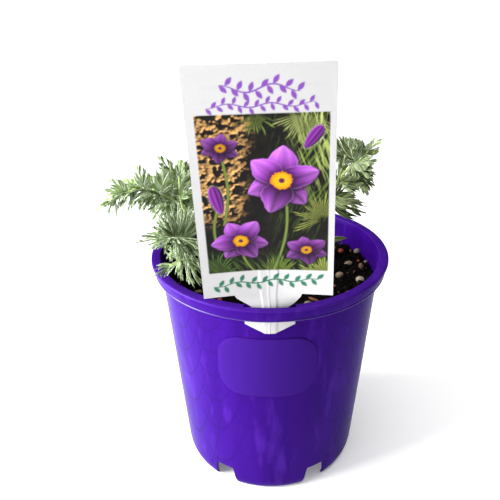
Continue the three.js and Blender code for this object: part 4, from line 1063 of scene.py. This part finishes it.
def crown_radius(z):
    """The rootstock's turned outline, straight between the solid's own corners."""
    heights = [ROOT_BOTTOM_Z, ROOT_BOTTOM_Z + 2, 112, 128, 134, ROOT_TOP_Z - 1.4, ROOT_TOP_Z]
    radii = [0, 1.2, 0.75 * ROOT_RADIUS, ROOT_RADIUS, 0.95 * ROOT_RADIUS, 0.6 * ROOT_RADIUS, 0]
    return np.interp(z, heights, radii)


def build_rootstock():
    """The crown that the leaves grow from: a turned, ridged carrot, and round its top pointed buds that
    lean in to the axis, each a cone with a softly swollen middle."""
    rows, columns = 60, 48
    z = (ROOT_BOTTOM_Z + (ROOT_TOP_Z - ROOT_BOTTOM_Z) * np.linspace(0.003, 0.997, rows))[:, None]
    turn = np.linspace(0, 2 * math.pi, columns, endpoint=False)
    ridges = 1 + 0.05 * np.sin(7 * turn) * np.sin(z / 3) + 0.03 * np.sin(2.1 * z)
    points = [around(crown_radius(z) * ridges, turn, z).reshape(-1, 3)]
    faces = closed_tube(rows, columns)
    steps, sides = 12, 12
    u = np.linspace(0, 1, steps)[:, None]
    side = np.linspace(0, 2 * math.pi, sides, endpoint=False)
    width = BUD_RADIUS * (1 - u) * (1 + 0.5 * u) + 0.02
    out = BUD_PLACE[0] + BUD_LENGTH * (0.5 - u) * math.sin(BUD_LEAN) + width * np.cos(side)
    height = np.broadcast_to(BUD_PLACE[1] + BUD_LENGTH * (u - 0.5) * math.cos(BUD_LEAN), out.shape)
    across = width * np.sin(side)
    for k in range(BUDS):
        angle = (k + 0.3) * 2 * math.pi / BUDS
        cos, sin = math.cos(angle), math.sin(angle)
        faces += closed_tube(steps, sides, sum(len(block) for block in points))
        bud = np.stack([across * cos + out * sin, across * sin - out * cos, height], axis=-1)
        points.append(bud.reshape(-1, 3))
    bark = grained_finish("rootstock_bark", (500.0, 4.0, 0.6),
                          [(0.3, (0.035, 0.022, 0.012)), (0.7, (0.13, 0.09, 0.055))], 0.5, 0.0006,
                          Roughness=0.85)
    make_piece("root_crown", np.concatenate(points), faces, bark, "rootstock", sharp=60)


# Leaves


def curve_point(path, t):
    """The centripetal Catmull-Rom curve through a path's points, at t from 0 to 1."""
    padded = np.vstack([2 * path[0] - path[1], path, 2 * path[-1] - path[-2]])
    place = np.clip(t, 0, 1) * (len(path) - 1)
    k = np.minimum(np.floor(place).astype(int), len(path) - 2)
    w = (place - k)[:, None]
    p0, p1, p2, p3 = (padded[k + i] for i in range(4))
    d0, d1, d2 = (np.linalg.norm(b - a, axis=-1, keepdims=True) ** 0.5
                  for a, b in ((p0, p1), (p1, p2), (p2, p3)))
    out = ((p1 - p0) / d0 - (p2 - p0) / (d0 + d1) + (p2 - p1) / d1) * d1
    into = ((p2 - p1) / d1 - (p3 - p1) / (d1 + d2) + (p3 - p2) / d2) * d1
    return p1 + out * w + (3 * (p2 - p1) - 2 * out - into) * w**2 + (2 * (p1 - p2) + out + into) * w**3


def leaf_frames(leaf, share):
    """Points and the onward, left and upper directions at shares of a leaf's length. Left is one fixed
    side made square to the way on."""
    path = np.array(leaf["path"], float)
    t = np.linspace(0, 1, 201)
    length = np.concatenate([[0], np.cumsum(np.linalg.norm(np.diff(curve_point(path, t), axis=0), axis=1))])

    def at(place):
        """The points and the ways on at shares of the length."""
        spot = np.interp(np.asarray(place, float) * length[-1], length, t)
        return curve_point(path, spot), unit(curve_point(path, spot + 1e-4) - curve_point(path, spot - 1e-4))

    side = unit(np.cross(leaf["upper"], at([leaf["blade"]])[1][0]))
    point, onward = at(share)
    left = unit(side - onward * (onward @ side)[:, None])
    return point, onward, left, np.cross(onward, left)


def centre_lines(root, angle, reach, bend):
    """Flat centre lines from their roots, each turning evenly by its bend along its reach."""
    u = (np.arange(STATIONS - 1) + 0.5) / (STATIONS - 1)
    way = angle[:, None] + bend[:, None] * u
    step = np.stack([np.cos(way), np.sin(way)], axis=-1) * (reach / (STATIONS - 1))[:, None, None]
    return root[:, None] + np.concatenate([np.zeros((len(root), 1, 2)), np.cumsum(step, axis=1)], axis=1)


def leaflet_segments(leaf, length, pairs, key):
    """The narrow segments of one leaflet on the flat. Each lobe's tip is where the solid's lobe ends,
    and its foot is drawn back along the rib, so the lobes run forward side by side; they and the end
    lobe carry forward teeth. It gives centre lines, half widths and rises."""
    u = np.linspace(0, 1, STATIONS)
    lance = 1.8 * (0.25 + 2.0 * u) * (1 - u) ** 1.05 + 0.02
    half = leaf["breadth"] * 0.6 * min(1, length / 14)
    j, sign = (a.ravel() for a in np.meshgrid(np.arange(pairs), [-1.0, 1.0], indexing="ij"))
    start = 0.32 + 0.42 / pairs * (j + 0.12 * sign)
    angle = np.radians(44 - 8 * j + 5 * jitter(key + j + 3 * sign))
    reach = (0.44 - 0.075 * j) * (1 + 0.15 * jitter(key + 7 * j + sign))
    if leaf["basal"]:
        sides = np.array([-1.0, 1.0])
        j, sign, start = np.append(j, [-1, -1]), np.append(sign, sides), np.append(start, 0.2 + 0.03 * sides)
        angle = np.append(angle, np.radians([54, 50]))
        reach = np.append(reach, 0.36 + 0.05 * jitter(key + 31 + sides))
    tip_x, tip_y = start + reach * np.cos(angle), reach * np.sin(angle)
    foot = start * (leaf["pull"] + 0.1 * jitter(key + 3 * j + 9 * sign))
    bend = -sign * np.radians(24 + 16 * jitter(key + 5 * j + sign))
    way = sign * np.arctan2(tip_y, tip_x - foot) - bend / 2
    reach = np.hypot(tip_x - foot, tip_y) * length
    lobes = centre_lines(np.column_stack([foot * length, np.zeros_like(foot)]), way, reach, bend)
    lift = (0.04 + 0.16 * jitter(key + 11 * j + 2 * sign)) * reach
    rib = centre_lines(np.zeros((1, 2)), np.zeros(1), np.array([length]), np.zeros(1))
    rib_half = np.maximum(0.45 - 0.1 * u, 1.05 * half * np.interp(u, [0.35, 0.7, 1], [0, 1, 0.02]))
    lines, halves = [rib, lobes], [rib_half[None], half * np.tile(lance, (len(j), 1))]
    rises = [np.zeros((1, STATIONS)), lift[:, None] * u**2]
    zero = np.zeros(1)
    teeth = ((lobes, way, bend, reach, lift, leaf["teeth"], key),
             (rib, zero, zero, np.array([0.55 * length]), zero, leaf["rib_teeth"], key + 40))
    for line, heading, curl, full, raised, rows, seed in teeth:
        n = np.arange(len(line))
        for m, (place, hand, share) in enumerate(rows):
            spot = place * (STATIONS - 1)
            low = int(spot)
            root = line[:, low] + (line[:, low + 1] - line[:, low]) * (spot - low)
            size = full * share * (1 + 0.3 * jitter(seed + 5 * n + 3 * m))
            turn = heading + curl * place + hand * (FORK + np.radians(5) * jitter(seed + n + m))
            lines.append(centre_lines(root, turn, size, -hand * np.full(len(n), 0.4 * FORK)))
            halves.append(0.85 * half * np.tile(lance, (len(n), 1)))
            climb = (0.04 + 0.25 * jitter(seed + 9 * n + 4 * m)) * size
            rises.append((raised * place**2)[:, None] + climb[:, None] * u**2)
    return np.concatenate(lines), np.concatenate(halves), np.concatenate(rises)


def leaflets_of(leaf):
    """Every leaflet's place, angle to the midrib, lift, length, pairs of lobes and key: those of the
    solid, each with the small ones that lie between it and the next."""
    rows = []
    for i in range(leaf["pairs"]):
        along = i / (leaf["pairs"] - 1) if leaf["pairs"] > 1 else 0.0
        for sign in (-1, 1):
            key = leaf["key"] + 20 * i + 5 * sign
            share = leaf["blade"] + (LAST_PAIR - leaf["blade"]) * along + 0.012 * sign
            spread = leaf["spread"] + (LAST_SPREAD - leaf["spread"]) * along
            turn = sign * math.radians(spread + 7 * jitter(key))
            length = leaf["leaflet"] * (1 - 0.34 * along) * (1 + 0.1 * jitter(key + 2))
            rows.append((share, turn, leaf["lift"] + PAIR_LIFT * i, length, 3 if i == 0 else 2, key))
            step = (LAST_PAIR - leaf["blade"]) / max(1, leaf["pairs"] - 1)
            for m, (shift, lift, size) in enumerate(leaf["between"]):
                rows.append((share + shift * step, leaf["between_turn"] * turn, lift, size * length, 2,
                             key + 300 + 100 * m))
    return rows + [(END_PLACE, 0.0, 0.0, END_SIZE * leaf["leaflet"], 2, leaf["key"] + 90)]


def set_leaflet(leaf, row):
    """One leaflet's segments as closed strips in space: the flat points turned to the leaflet's
    direction, folded up towards their edges, and arched down towards the leaflet's tip."""
    share, turn, lift, length, pairs, key = row
    point, onward, left, upper = (a[0] for a in leaf_frames(leaf, [share]))
    way = onward * math.cos(turn) + left * math.sin(turn)
    way = unit(way * math.cos(lift) + upper * math.sin(lift))
    level = unit(upper - way * (upper @ way))
    roll = math.copysign(0.5, turn) if turn else 0.0
    normal = level * math.cos(roll) + np.cross(way, level) * math.sin(roll)
    across = np.cross(normal, way)
    line, half, rise = leaflet_segments(leaf, length, pairs, key)
    ahead = unit(np.gradient(line, axis=1))
    aside = np.stack([-ahead[..., 1], ahead[..., 0]], axis=-1)
    flat = line[:, :, None] + aside[:, :, None] * (half[..., None] * SECTION_ACROSS)[..., None]
    u = np.linspace(0, 1, STATIONS)
    thick = BLADE_THICKNESS * (1 - 0.5 * u)[None, :, None] * SECTION_HEIGHT
    fold = BLADE_FOLD * np.abs(SECTION_ACROSS) * half[..., None]
    x, y = flat[..., 0], flat[..., 1]
    fall = leaf["arch"] * length * (x / length) ** 2 + 0.1 * np.abs(y)
    up = thick + fold + rise[..., None] - fall
    return point + x[..., None] * way + y[..., None] * across + up[..., None] * normal


def stalk_tube(leaf):
    """The stalk and midrib: a tube that tapers from foot to tip, with a groove along its upper side."""
    steps, sides = 48, 12
    share = np.linspace(0, 1, steps)
    point, _, left, upper = leaf_frames(leaf, share)
    radius = leaf["foot"] + (RIB_TIP_RADIUS - leaf["foot"]) * share**1.2
    turn = np.linspace(0, 2 * math.pi, sides + 1)[:-1]
    groove = 1 - 0.28 * np.exp(-(((turn - math.pi / 2) / 0.4) ** 2))
    section = left[:, None] * np.cos(turn)[None, :, None] + upper[:, None] * np.sin(turn)[None, :, None]
    return point[:, None] + section * (radius[:, None] * groove)[..., None]


def hair_spikes(root, way, length, thick, rng):
    """Hairs as three-sided spikes: a small triangle of base points and one tip."""
    first = unit(np.cross(way, rng.normal(size=way.shape)))
    second = np.cross(way, first)
    turn = 2 * math.pi / 3 * np.arange(3)
    ring = first[:, None] * np.cos(turn)[None, :, None] + second[:, None] * np.sin(turn)[None, :, None]
    base = root[:, None] + thick * ring
    tip = (root + way * length[:, None])[:, None]
    return np.concatenate([base, tip], axis=1)


def clipped(points):
    """Points kept inside the solid model's box."""
    low, high = np.array(cad_low) / MM - (POT_X, POT_Y, 0), np.array(cad_high) / MM - (POT_X, POT_Y, 0)
    return np.clip(points, low, high)


def build_hairs(name, leaf, strips, tube):
    """Silky hairs by a random rule: along the edges of every segment, on its back and on the stalk."""
    rng = np.random.default_rng(leaf["key"])
    count = len(strips) * HAIRS_A_SEGMENT
    which, u = rng.integers(0, len(strips), count), rng.uniform(0.02, 0.98, count) * (STATIONS - 1)
    low = u.astype(int)
    corner = rng.choice([0, 4, 0, 4, 2, 6], count)
    here, ahead = strips[which, low, corner], strips[which, low + 1, corner]
    root = here + (ahead - here) * (u - low)[:, None]
    middle = strips[which, low].mean(axis=1)
    onward, outward = unit(ahead - here + 1e-9), unit(here - middle + 1e-9)
    way = unit(0.75 * outward + 0.7 * onward + 0.28 * rng.normal(size=root.shape))
    spikes = [hair_spikes(root, way, rng.uniform(*HAIR_LENGTHS, count), HAIR_RADIUS, rng)]
    count = HAIRS_A_STALK
    ring, side = rng.integers(8, len(tube) - 1, count), rng.integers(0, tube.shape[1], count)
    root = tube[ring, side] + (tube[ring + 1, side] - tube[ring, side]) * rng.uniform(0, 1, (count, 1))
    outward = unit(tube[ring, side] - tube[ring].mean(axis=1))
    onward = unit(tube[ring + 1, side] - tube[ring, side])
    way = unit(outward + 0.5 * onward + 0.25 * rng.normal(size=root.shape))
    above = root[:, 2] > SOIL_EDGE_Z + 2
    length = rng.uniform(*STALK_HAIR_LENGTHS, above.sum())
    spikes.append(hair_spikes(root[above], way[above], length, STALK_HAIR_RADIUS, rng))
    points = clipped(np.concatenate(spikes))
    faces = np.array([[0, 1, 3], [1, 2, 3], [2, 0, 3], [0, 2, 1]])
    all_faces = (np.arange(len(points))[:, None, None] * 4 + faces).reshape(-1, 3)
    make_piece(name + "_hairs", points, all_faces, FINISHES["hair"], sharp=180)


def build_leaf(name, leaf):
    """A leaf: its stalk tube and every leaflet's segments, with a tone at each point that says how far
    it is from the segment's midline, how far along it, on which side, and which segment it is in."""
    rows = leaflets_of(leaf)
    leaflets = [set_leaflet(leaf, row) for row in rows]
    counts = [len(strips) for strips in leaflets]
    fresh = np.repeat([k in leaf["fresh"] for k in range(len(rows))], counts)
    place = np.repeat([row[0] for row in rows], counts)
    finish_leaf(name, leaf, np.concatenate(leaflets), stalk_tube(leaf), fresh, place)


def finish_leaf(name, leaf, strips, tube, fresh, place):
    """Makes the blades' piece from segments, their fresh marks and their places along the leaf, and
    its stalk, then the hairs. A leaf's silvering makes it paler from its blade's start to its tip."""
    tones = np.empty((*strips.shape[:3], 4))
    tones[..., 0] = np.abs(SECTION_ACROSS)
    tones[..., 1] = np.linspace(0, 1, strips.shape[1])[None, :, None]
    tones[..., 2] = UPPER_SIDE
    paler = leaf["silvering"] * (place - leaf["blade"]) / (1 - leaf["blade"])
    own = 0.5 + 0.5 * jitter(np.arange(len(strips)) * 1.7 + leaf["key"])
    tones[..., 3] = np.clip(own + paler, 0, 1)[:, None, None]
    tube_tones = np.tile((0.0, 0.0, 1.0, 0.5), (tube.shape[0] * tube.shape[1], 1))
    blade_faces = strip_faces(*strips.shape[:3])
    tube_faces = [strips.size // 3 + block for block in strip_faces(1, *tube.shape[:2])]
    points = clipped(np.concatenate([strips.reshape(-1, 3), tube.reshape(-1, 3)]))
    kinds = [2 * np.repeat(fresh, len(block) // len(strips)) for block in blade_faces]
    kinds = np.concatenate(kinds + [np.ones(len(block)) for block in tube_faces])
    finishes = [FINISHES[key] for key in (leaf["finish"], "stalk", "fresh")]
    make_piece(name + "_blades", points, blade_faces + tube_faces, finishes, name, sharp=180,
               attributes={"tone": np.concatenate([tones.reshape(-1, 4), tube_tones])}, face_material=kinds)
    build_hairs(name, leaf, strips, tube)


def build_simple_leaf(name, leaf):
    """One plain lance-shaped blade with a slightly waved edge, on its stalk."""
    point, onward, left, upper = (a[0] for a in leaf_frames(leaf, [leaf["blade"]]))
    u = np.linspace(0, 1, STATIONS)
    size = leaf["leaflet"]
    half = 0.17 * size * np.interp(u, [0, 0.3, 0.62, 1], [0.6, 1, 0.7, 0.03]) * (1 + 0.06 * np.sin(u * 19))
    x = (u * size)[:, None]
    y = half[:, None] * SECTION_ACROSS
    up = BLADE_THICKNESS * SECTION_HEIGHT + 0.35 * np.abs(y) - leaf["arch"] * x**2 / size
    strip = point + x[..., None] * onward + y[..., None] * left + up[..., None] * upper
    finish_leaf(name, leaf, strip[None], stalk_tube(leaf), np.array([False]), leaf["blade"])


def leaf_finish(name, shade, green, pale, silver, rib):
    """Silky leaf skin: green darkened in blotches, a pale downy edge, a yellow-green midline on the
    upper side, a silver underside, and a light sheen from its down."""
    material, tree, shader = new_finish(name, Roughness=0.6, Specular_IOR_Level=0.12, Sheen_Weight=0.02,
                                        Sheen_Roughness=0.5, Sheen_Tint=(0.85, 0.95, 0.82, 1))
    tone = add_node(tree, "ShaderNodeAttribute", attribute_name="tone").outputs
    across, along, side = add_node(tree, "ShaderNodeSeparateColor", {"Color": tone["Color"]}).outputs
    own, patches = times(tree, tone["Alpha"], 0.6), times(tree, noise(tree, 150.0), 0.4)
    blotch = math_node(tree, "ADD", patches, own)
    skin = ramp(tree, blotch, [(0.2, shade), (0.42, green), (0.72, pale)])
    skin = mix_colours(tree, map_range(tree, side, 0.6, 0.1, 0.0, 0.35), skin, pale)
    edge = times(tree, map_range(tree, across, 0.5, 0.95, 0.0, 0.9),
                 map_range(tree, blotch, 0.2, 0.7, 0.0, 1.0))
    skin = mix_colours(tree, edge, skin, silver)
    middle = times(tree, map_range(tree, across, 0.35, 0.0, 0.0, 0.8),
                   map_range(tree, along, 1.0, 0.0, 0.0, 1.0))
    skin = mix_colours(tree, middle, skin, rib)
    tree.links.new(skin, shader.inputs["Base Color"])
    add_bump(tree, shader, noise(tree, 900.0, 2.0), 0.2, 0.0002)
    return material


def stalk_finish():
    """Juicy yellow-green stalk skin with mottling and a reddish foot."""
    material, tree, shader = new_finish("stalk_skin", Roughness=0.45, Sheen_Weight=0.2, Sheen_Roughness=0.5)
    mottle = noise(tree, 220.0, 3.0)
    green = ramp(tree, mottle, [(0.3, (0.16, 0.24, 0.05)), (0.7, (0.30, 0.38, 0.10))])
    height = add_node(tree, "ShaderNodeSeparateXYZ", {"Vector": object_place(tree)}).outputs["Z"]
    foot = map_range(tree, height, 0.134, 0.150, 0.6, 0.0)
    tree.links.new(mix_colours(tree, foot, green, (0.16, 0.07, 0.05)), shader.inputs["Base Color"])
    add_bump(tree, shader, mottle, 0.2, 0.0003)
    return material


# Each skin's shade, green, pale, silver and rib colours
LEAF_SKINS = {
    "silver": ((0.018, 0.036, 0.007), (0.115, 0.18, 0.034), (0.31, 0.40, 0.20),
               (0.60, 0.68, 0.56), (0.23, 0.35, 0.04)),
    # The dusky and deep skins are darker copies of the silver one: painted shade for the leaves low and on
    # the right, away from the light
    "shaded_dusky": ((0.013, 0.024, 0.005), (0.080, 0.115, 0.024), (0.20, 0.26, 0.11),
              (0.50, 0.56, 0.44), (0.20, 0.29, 0.04)),
    "deep": ((0.006, 0.010, 0.003), (0.023, 0.034, 0.008), (0.065, 0.088, 0.026),
             (0.30, 0.36, 0.20), (0.22, 0.28, 0.07)),
    "frosted": ((0.012, 0.027, 0.004), (0.062, 0.112, 0.020), (0.25, 0.34, 0.15),
                (0.84, 0.92, 0.75), (0.42, 0.56, 0.20)),
    "fresh": ((0.035, 0.075, 0.006), (0.10, 0.20, 0.014), (0.20, 0.34, 0.06),
              (0.36, 0.48, 0.22), (0.22, 0.38, 0.03)),
}
FINISHES = {key: leaf_finish(f"leaf_{key}_green", *colours) for key, colours in LEAF_SKINS.items()}
FINISHES["stalk"] = stalk_finish()
# Clear silvery down
FINISHES["hair"] = new_finish("silky_hair", Base_Color=(0.60, 0.68, 0.52, 1), Roughness=0.5,
                              Specular_IOR_Level=0.2)[0]


# Each leaf as in the solid model: path of its stalk and midrib, the side its upper face looks to, the
# share of its length where the blade starts, the longest leaflet, its spread, lift and arch, pairs, key
LEAF_ROWS = {
    "far_left": (
        [(-12.5, 1, 121), (-14, 1, 134), (-36, 2, 160), (-52, 2, 176), (-66, -2, 187.5),
         (-79, -5, 192), (-91, -7, 188), (-98, -8, 184.5)],
        (0.25, -0.25, 0.95), 0.55, 22, 78, 0.45, 0.12, 5, 1),
    "upper_left": (
        [(-11, 7.5, 121), (-12.5, 8.5, 134), (-30, 15, 158), (-48, 19, 176), (-57, 21, 186),
         (-64, 22, 195)],
        (0.1, -0.9, 0.45), 0.84, 23, 75, 0.1, 0.05, 3, 2),
    "back_left": (
        [(-8.5, 12, 121), (-9.5, 13.5, 134), (-28, 28, 158), (-46, 36, 174), (-57, 40, 181),
         (-67, 42, 184)],
        (0.3, -0.6, 0.75), 0.8, 22, 95, 0.2, 0.15, 3, 3),
    "young": (
        [(-7.5, -3.5, 121), (-8.5, -4.5, 134), (-27, -12, 158), (-43, -17, 172),
         (-51, -18.5, 186), (-52, -17.5, 206)],
        (0.2, -0.9, 0.3), 0.86, 8, 45, 0.3, -0.3, 1, 4),
    "middle_left": (
        [(-16, -3, 121), (-18, -4, 134), (-35, -10, 151), (-48, -16, 163),
         (-57, -19, 168.5), (-66, -21, 169)],
        (0.1, -0.4, 0.9), 0.82, 18, 85, 0.1, 0.2, 2, 16),
    "star_left": (
        [(-11.5, -6.5, 121), (-13, -8.5, 134), (-30, -25, 154), (-44, -38, 171),
         (-50.5, -43, 178), (-60, -49, 180)],
        (-0.15, -0.5, 0.85), 0.84, 26, 122, 0.05, 0.06, 3, 5),
    "low_left": (
        [(-7.5, -11, 121), (-8.5, -13, 134), (-25, -24, 148), (-41, -34, 159), (-50, -39, 162),
         (-57, -43, 160)],
        (-0.15, -0.55, 0.8), 0.84, 22, 112, 0.05, 0.1, 3, 6),
    "upper_right": (
        [(11.5, 2, 121), (12.5, 2, 134), (25, 1.5, 165), (38, 0.5, 191), (46, 0, 202),
         (52.5, -1, 209), (58, -2, 215)],
        (0.1, -0.8, 0.6), 0.88, 21, 105, 0.1, 0.05, 3, 7),
    "right_inner": (
        [(7.5, -3.5, 121), (8.5, -4.5, 134), (20, -8, 160), (33, -10, 186), (40, -10, 200),
         (42, -10, 207)],
        (0, -0.9, 0.4), 0.9, 18, 60, 0.1, 0.05, 2, 8),
    "right": (
        [(10.5, 8.5, 121), (11.5, 9.5, 134), (25, 14, 160), (37, 17, 178), (45, 18, 186),
         (53, 18, 190)],
        (0.1, -0.7, 0.7), 0.84, 20, 80, 0.1, 0.1, 2, 9),
    "lower_right": (
        [(9, -9, 121), (10, -10.5, 134), (20, -17, 158), (29, -22, 180), (36, -25, 195),
         (43, -28, 194)],
        (0.3, -0.75, 0.6), 0.87, 25, 80, 0.05, 0.12, 3, 10),
    "small": (
        [(14, 5.5, 121), (15.5, 6.5, 134), (28, 14, 141.5), (41, 21, 145), (49, 25, 142)],
        (0.1, -0.4, 0.9), 0.8, 16, 0, 0, 0.15, 0, 11),
    "back": (
        [(-3, 13.5, 121), (-3.5, 15, 134), (-8, 28, 160), (-12, 40, 178), (-14, 50, 185),
         (-15, 58, 186)],
        (0, 0.2, 0.95), 0.84, 23, 100, 0.2, 0.15, 3, 12),
    "back_right": (
        [(4, 12.5, 121), (5, 14, 134), (16, 27, 158), (27, 38, 172), (34, 45, 176),
         (40, 51, 175)],
        (0, 0.2, 0.95), 0.84, 22, 100, 0.15, 0.15, 3, 13),
    "centre": (
        [(0.5, 7.5, 121), (0.5, 8.5, 134), (1, 10, 165), (0, 7, 190), (-1, 2, 203),
         (-1, -6, 210)],
        (0, -0.3, 0.95), 0.86, 22, 100, 0.2, 0.12, 3, 14),
    "front": (
        [(0.5, -8, 121), (0.5, -9.5, 134), (2, -22, 152), (4, -33, 164), (5, -40, 167),
         (5.5, -46, 166)],
        (0, -0.2, 0.95), 0.84, 18, 105, 0.15, 0.12, 3, 15),
}
LEAF_FIELDS = ("path", "upper", "blade", "leaflet", "spread", "lift", "arch", "pairs", "key")

# What dresses a leaf. foot: its stalk's radius at the foot. finish: its skin. breadth: how wide its
# segments are. pull: how far out a lobe's foot is, as a share of where the solid's lobe starts. teeth
# and rib_teeth: place, side and size of the teeth on each lobe and on the end lobe. basal: whether
# there is one more pair of lobes at a leaflet's foot. between: the small leaflets beside each one, by
# their shift towards the next pair, lift and size. between_turn: their angle as a share of its own.
# fresh: the leaflets with the fresh skin. silvering: how much paler the leaf gets towards its tip
PLAIN_STYLE = dict(foot=1.5, finish="silver", breadth=1.0, pull=0.5, teeth=((0.52, -1, 0.34),),
                   rib_teeth=((0.66, -1, 0.5), (0.74, 1, 0.4)), basal=False, between=(), between_turn=0.92,
                   fresh=(), silvering=0.0)
LEAF_STYLES = {
    "young": dict(foot=1.15),
    # Painted shade: the low and right-hand leaves get the darker dusky and deep skins
    "small": dict(foot=1.0, finish="deep"),
    "lower_right": dict(finish="deep", breadth=1.9, pull=0.2, teeth=(), rib_teeth=((0.6, -1, 0.5),)),
    "upper_right": dict(finish="shaded_dusky", breadth=1.75, pull=0.3, teeth=((0.5, -1, 0.36),), basal=True,
                        between=((0.35, 0.5, 1.05), (0.7, -0.35, 0.95), (1.0, 0.3, 0.95))),
    "star_left": dict(finish="frosted", breadth=0.95, pull=0.2, teeth=((0.6, 1, 0.25),),
                      rib_teeth=((0.7, -1, 0.4),), between_turn=0.75,
                      between=((0.4, 0.4, 0.85), (0.8, 0.1, 0.8), (0.55, 0.75, 0.8))),
    "low_left": dict(finish="frosted", breadth=1.05, pull=0.2, teeth=((0.6, 1, 0.25),),
                     rib_teeth=((0.7, -1, 0.4),), silvering=-0.2),
    "far_left": dict(breadth=1.6, basal=True, teeth=((0.5, -1, 0.36),), fresh=(25, 37), silvering=0.5,
                     between=((0.3, 0.15, 0.85), (0.62, -0.45, 0.8), (0.85, 0.45, 0.6), (0.45, -0.85, 0.75),
                              (0.15, -0.6, 0.95))),
    "upper_left": dict(breadth=1.6, pull=0.25, teeth=((0.5, -1, 0.34),), between=((0.5, 0.35, 0.9),)),
    "middle_left": dict(breadth=1.3, basal=True, between=((0.25, 0.4, 1.05), (0.5, -0.2, 0.95))),
    # Painted shade: these right-hand leaves get the darker dusky skin
    "right": dict(finish="shaded_dusky", breadth=1.2, pull=0.3),
    "right_inner": dict(finish="shaded_dusky", breadth=1.3, pull=0.3),
    "back_left": dict(breadth=1.5, pull=0.35),
    "back_right": dict(breadth=1.5, pull=0.35),
    "centre": dict(breadth=1.5, pull=0.35),
}


def build_leaves():
    """Every leaf, by its row and its style; a leaf without pairs of leaflets is one plain blade."""
    for name, row in LEAF_ROWS.items():
        leaf = {**PLAIN_STYLE, **dict(zip(LEAF_FIELDS, row)), **LEAF_STYLES.get(name, {})}
        build = build_leaf if leaf["pairs"] else build_simple_leaf
        build("leaf_" + name, leaf)


# Scene


def set_camera():
    """The camera that took the picture: its pitch is downwards, and its axis is off the middle."""
    data = bpy.data.cameras.new("camera")
    data.sensor_width = SENSOR_WIDTH
    data.lens = FOCAL_PIXELS / PICTURE_SIZE * SENSOR_WIDTH
    data.shift_x = (PICTURE_SIZE / 2 - AXIS_PIXEL_X) / PICTURE_SIZE
    data.clip_start, data.clip_end = 0.01, 50
    camera = bpy.data.objects.new("camera", data)
    camera.location = CAMERA_PLACE
    camera.rotation_euler = (math.pi / 2 - CAMERA_PITCH, 0, 0)
    bpy.context.scene.collection.objects.link(camera)
    bpy.context.scene.camera = camera


def add_light(name, place, aim, size, power):
    """A square area light, its size in metres and power in watts, turned to face a point."""
    data = bpy.data.lights.new(name, "AREA")
    data.size, data.energy = size, power
    light = bpy.data.objects.new(name, data)
    way = np.array(aim) - np.array(place)
    rise = math.atan2(way[2], math.hypot(way[0], way[1]))
    light.location = place
    light.rotation_euler = (math.pi / 2 + rise, 0, math.atan2(-way[0], way[1]))
    bpy.context.scene.collection.objects.link(light)


def set_stage():
    """A studio: a world that glows overhead and at the front left, one area light at the left, and a
    pale floor. The camera sees an even pale backdrop above the floor's edge."""
    world = bpy.data.worlds.new("studio")
    bpy.context.scene.world = world
    world.use_nodes = True
    tree = world.node_tree
    background = tree.nodes["Background"]
    way = add_node(tree, "ShaderNodeTexCoord").outputs["Generated"]
    parts = add_node(tree, "ShaderNodeSeparateXYZ", {"Vector": way}).outputs
    front_left = math_node(tree, "ADD", times(tree, parts["X"], -0.87), times(tree, parts["Y"], -0.5))
    overhead = map_range(tree, parts["Z"], 0.76, 0.93, 0.03, 2.9)
    window = map_range(tree, front_left, 0.55, 0.85, 0.0, 1.15)
    seen = add_node(tree, "ShaderNodeLightPath").outputs["Is Camera Ray"]
    unseen = times(tree, math_node(tree, "ADD", overhead, window), minus(tree, 1.0, seen))
    tree.links.new(math_node(tree, "ADD", unseen, seen), background.inputs["Strength"])
    background.inputs["Color"].default_value = (1, 1, 1, 1)
    add_light("side_panel", (-0.83, -0.19, 0.38), (0, 0, 0.12), 0.6, 33.0)
    pale = new_finish("pale_floor", Roughness=0.8, Base_Color=(0.93, 0.93, 0.93, 1),
                      Emission_Color=(1, 1, 1, 1), Emission_Strength=0.2)[0]
    mesh = bpy.data.meshes.new("floor")
    corners = [(x * FLOOR_REACH, y * FLOOR_REACH, 0) for x, y in ((-1, -1), (1, -1), (1, 1), (-1, 1))]
    mesh.from_pydata(corners, [], [(0, 1, 2, 3)])
    mesh.materials.append(pale)
    floor = bpy.data.objects.new("floor", mesh)
    bpy.context.scene.collection.objects.link(floor)
    bpy.context.scene.view_settings.view_transform = "Standard"


set_camera()
set_stage()
build_pot()
build_panel()
build_label()
build_soil()
build_litter()
build_rootstock()
build_leaves()
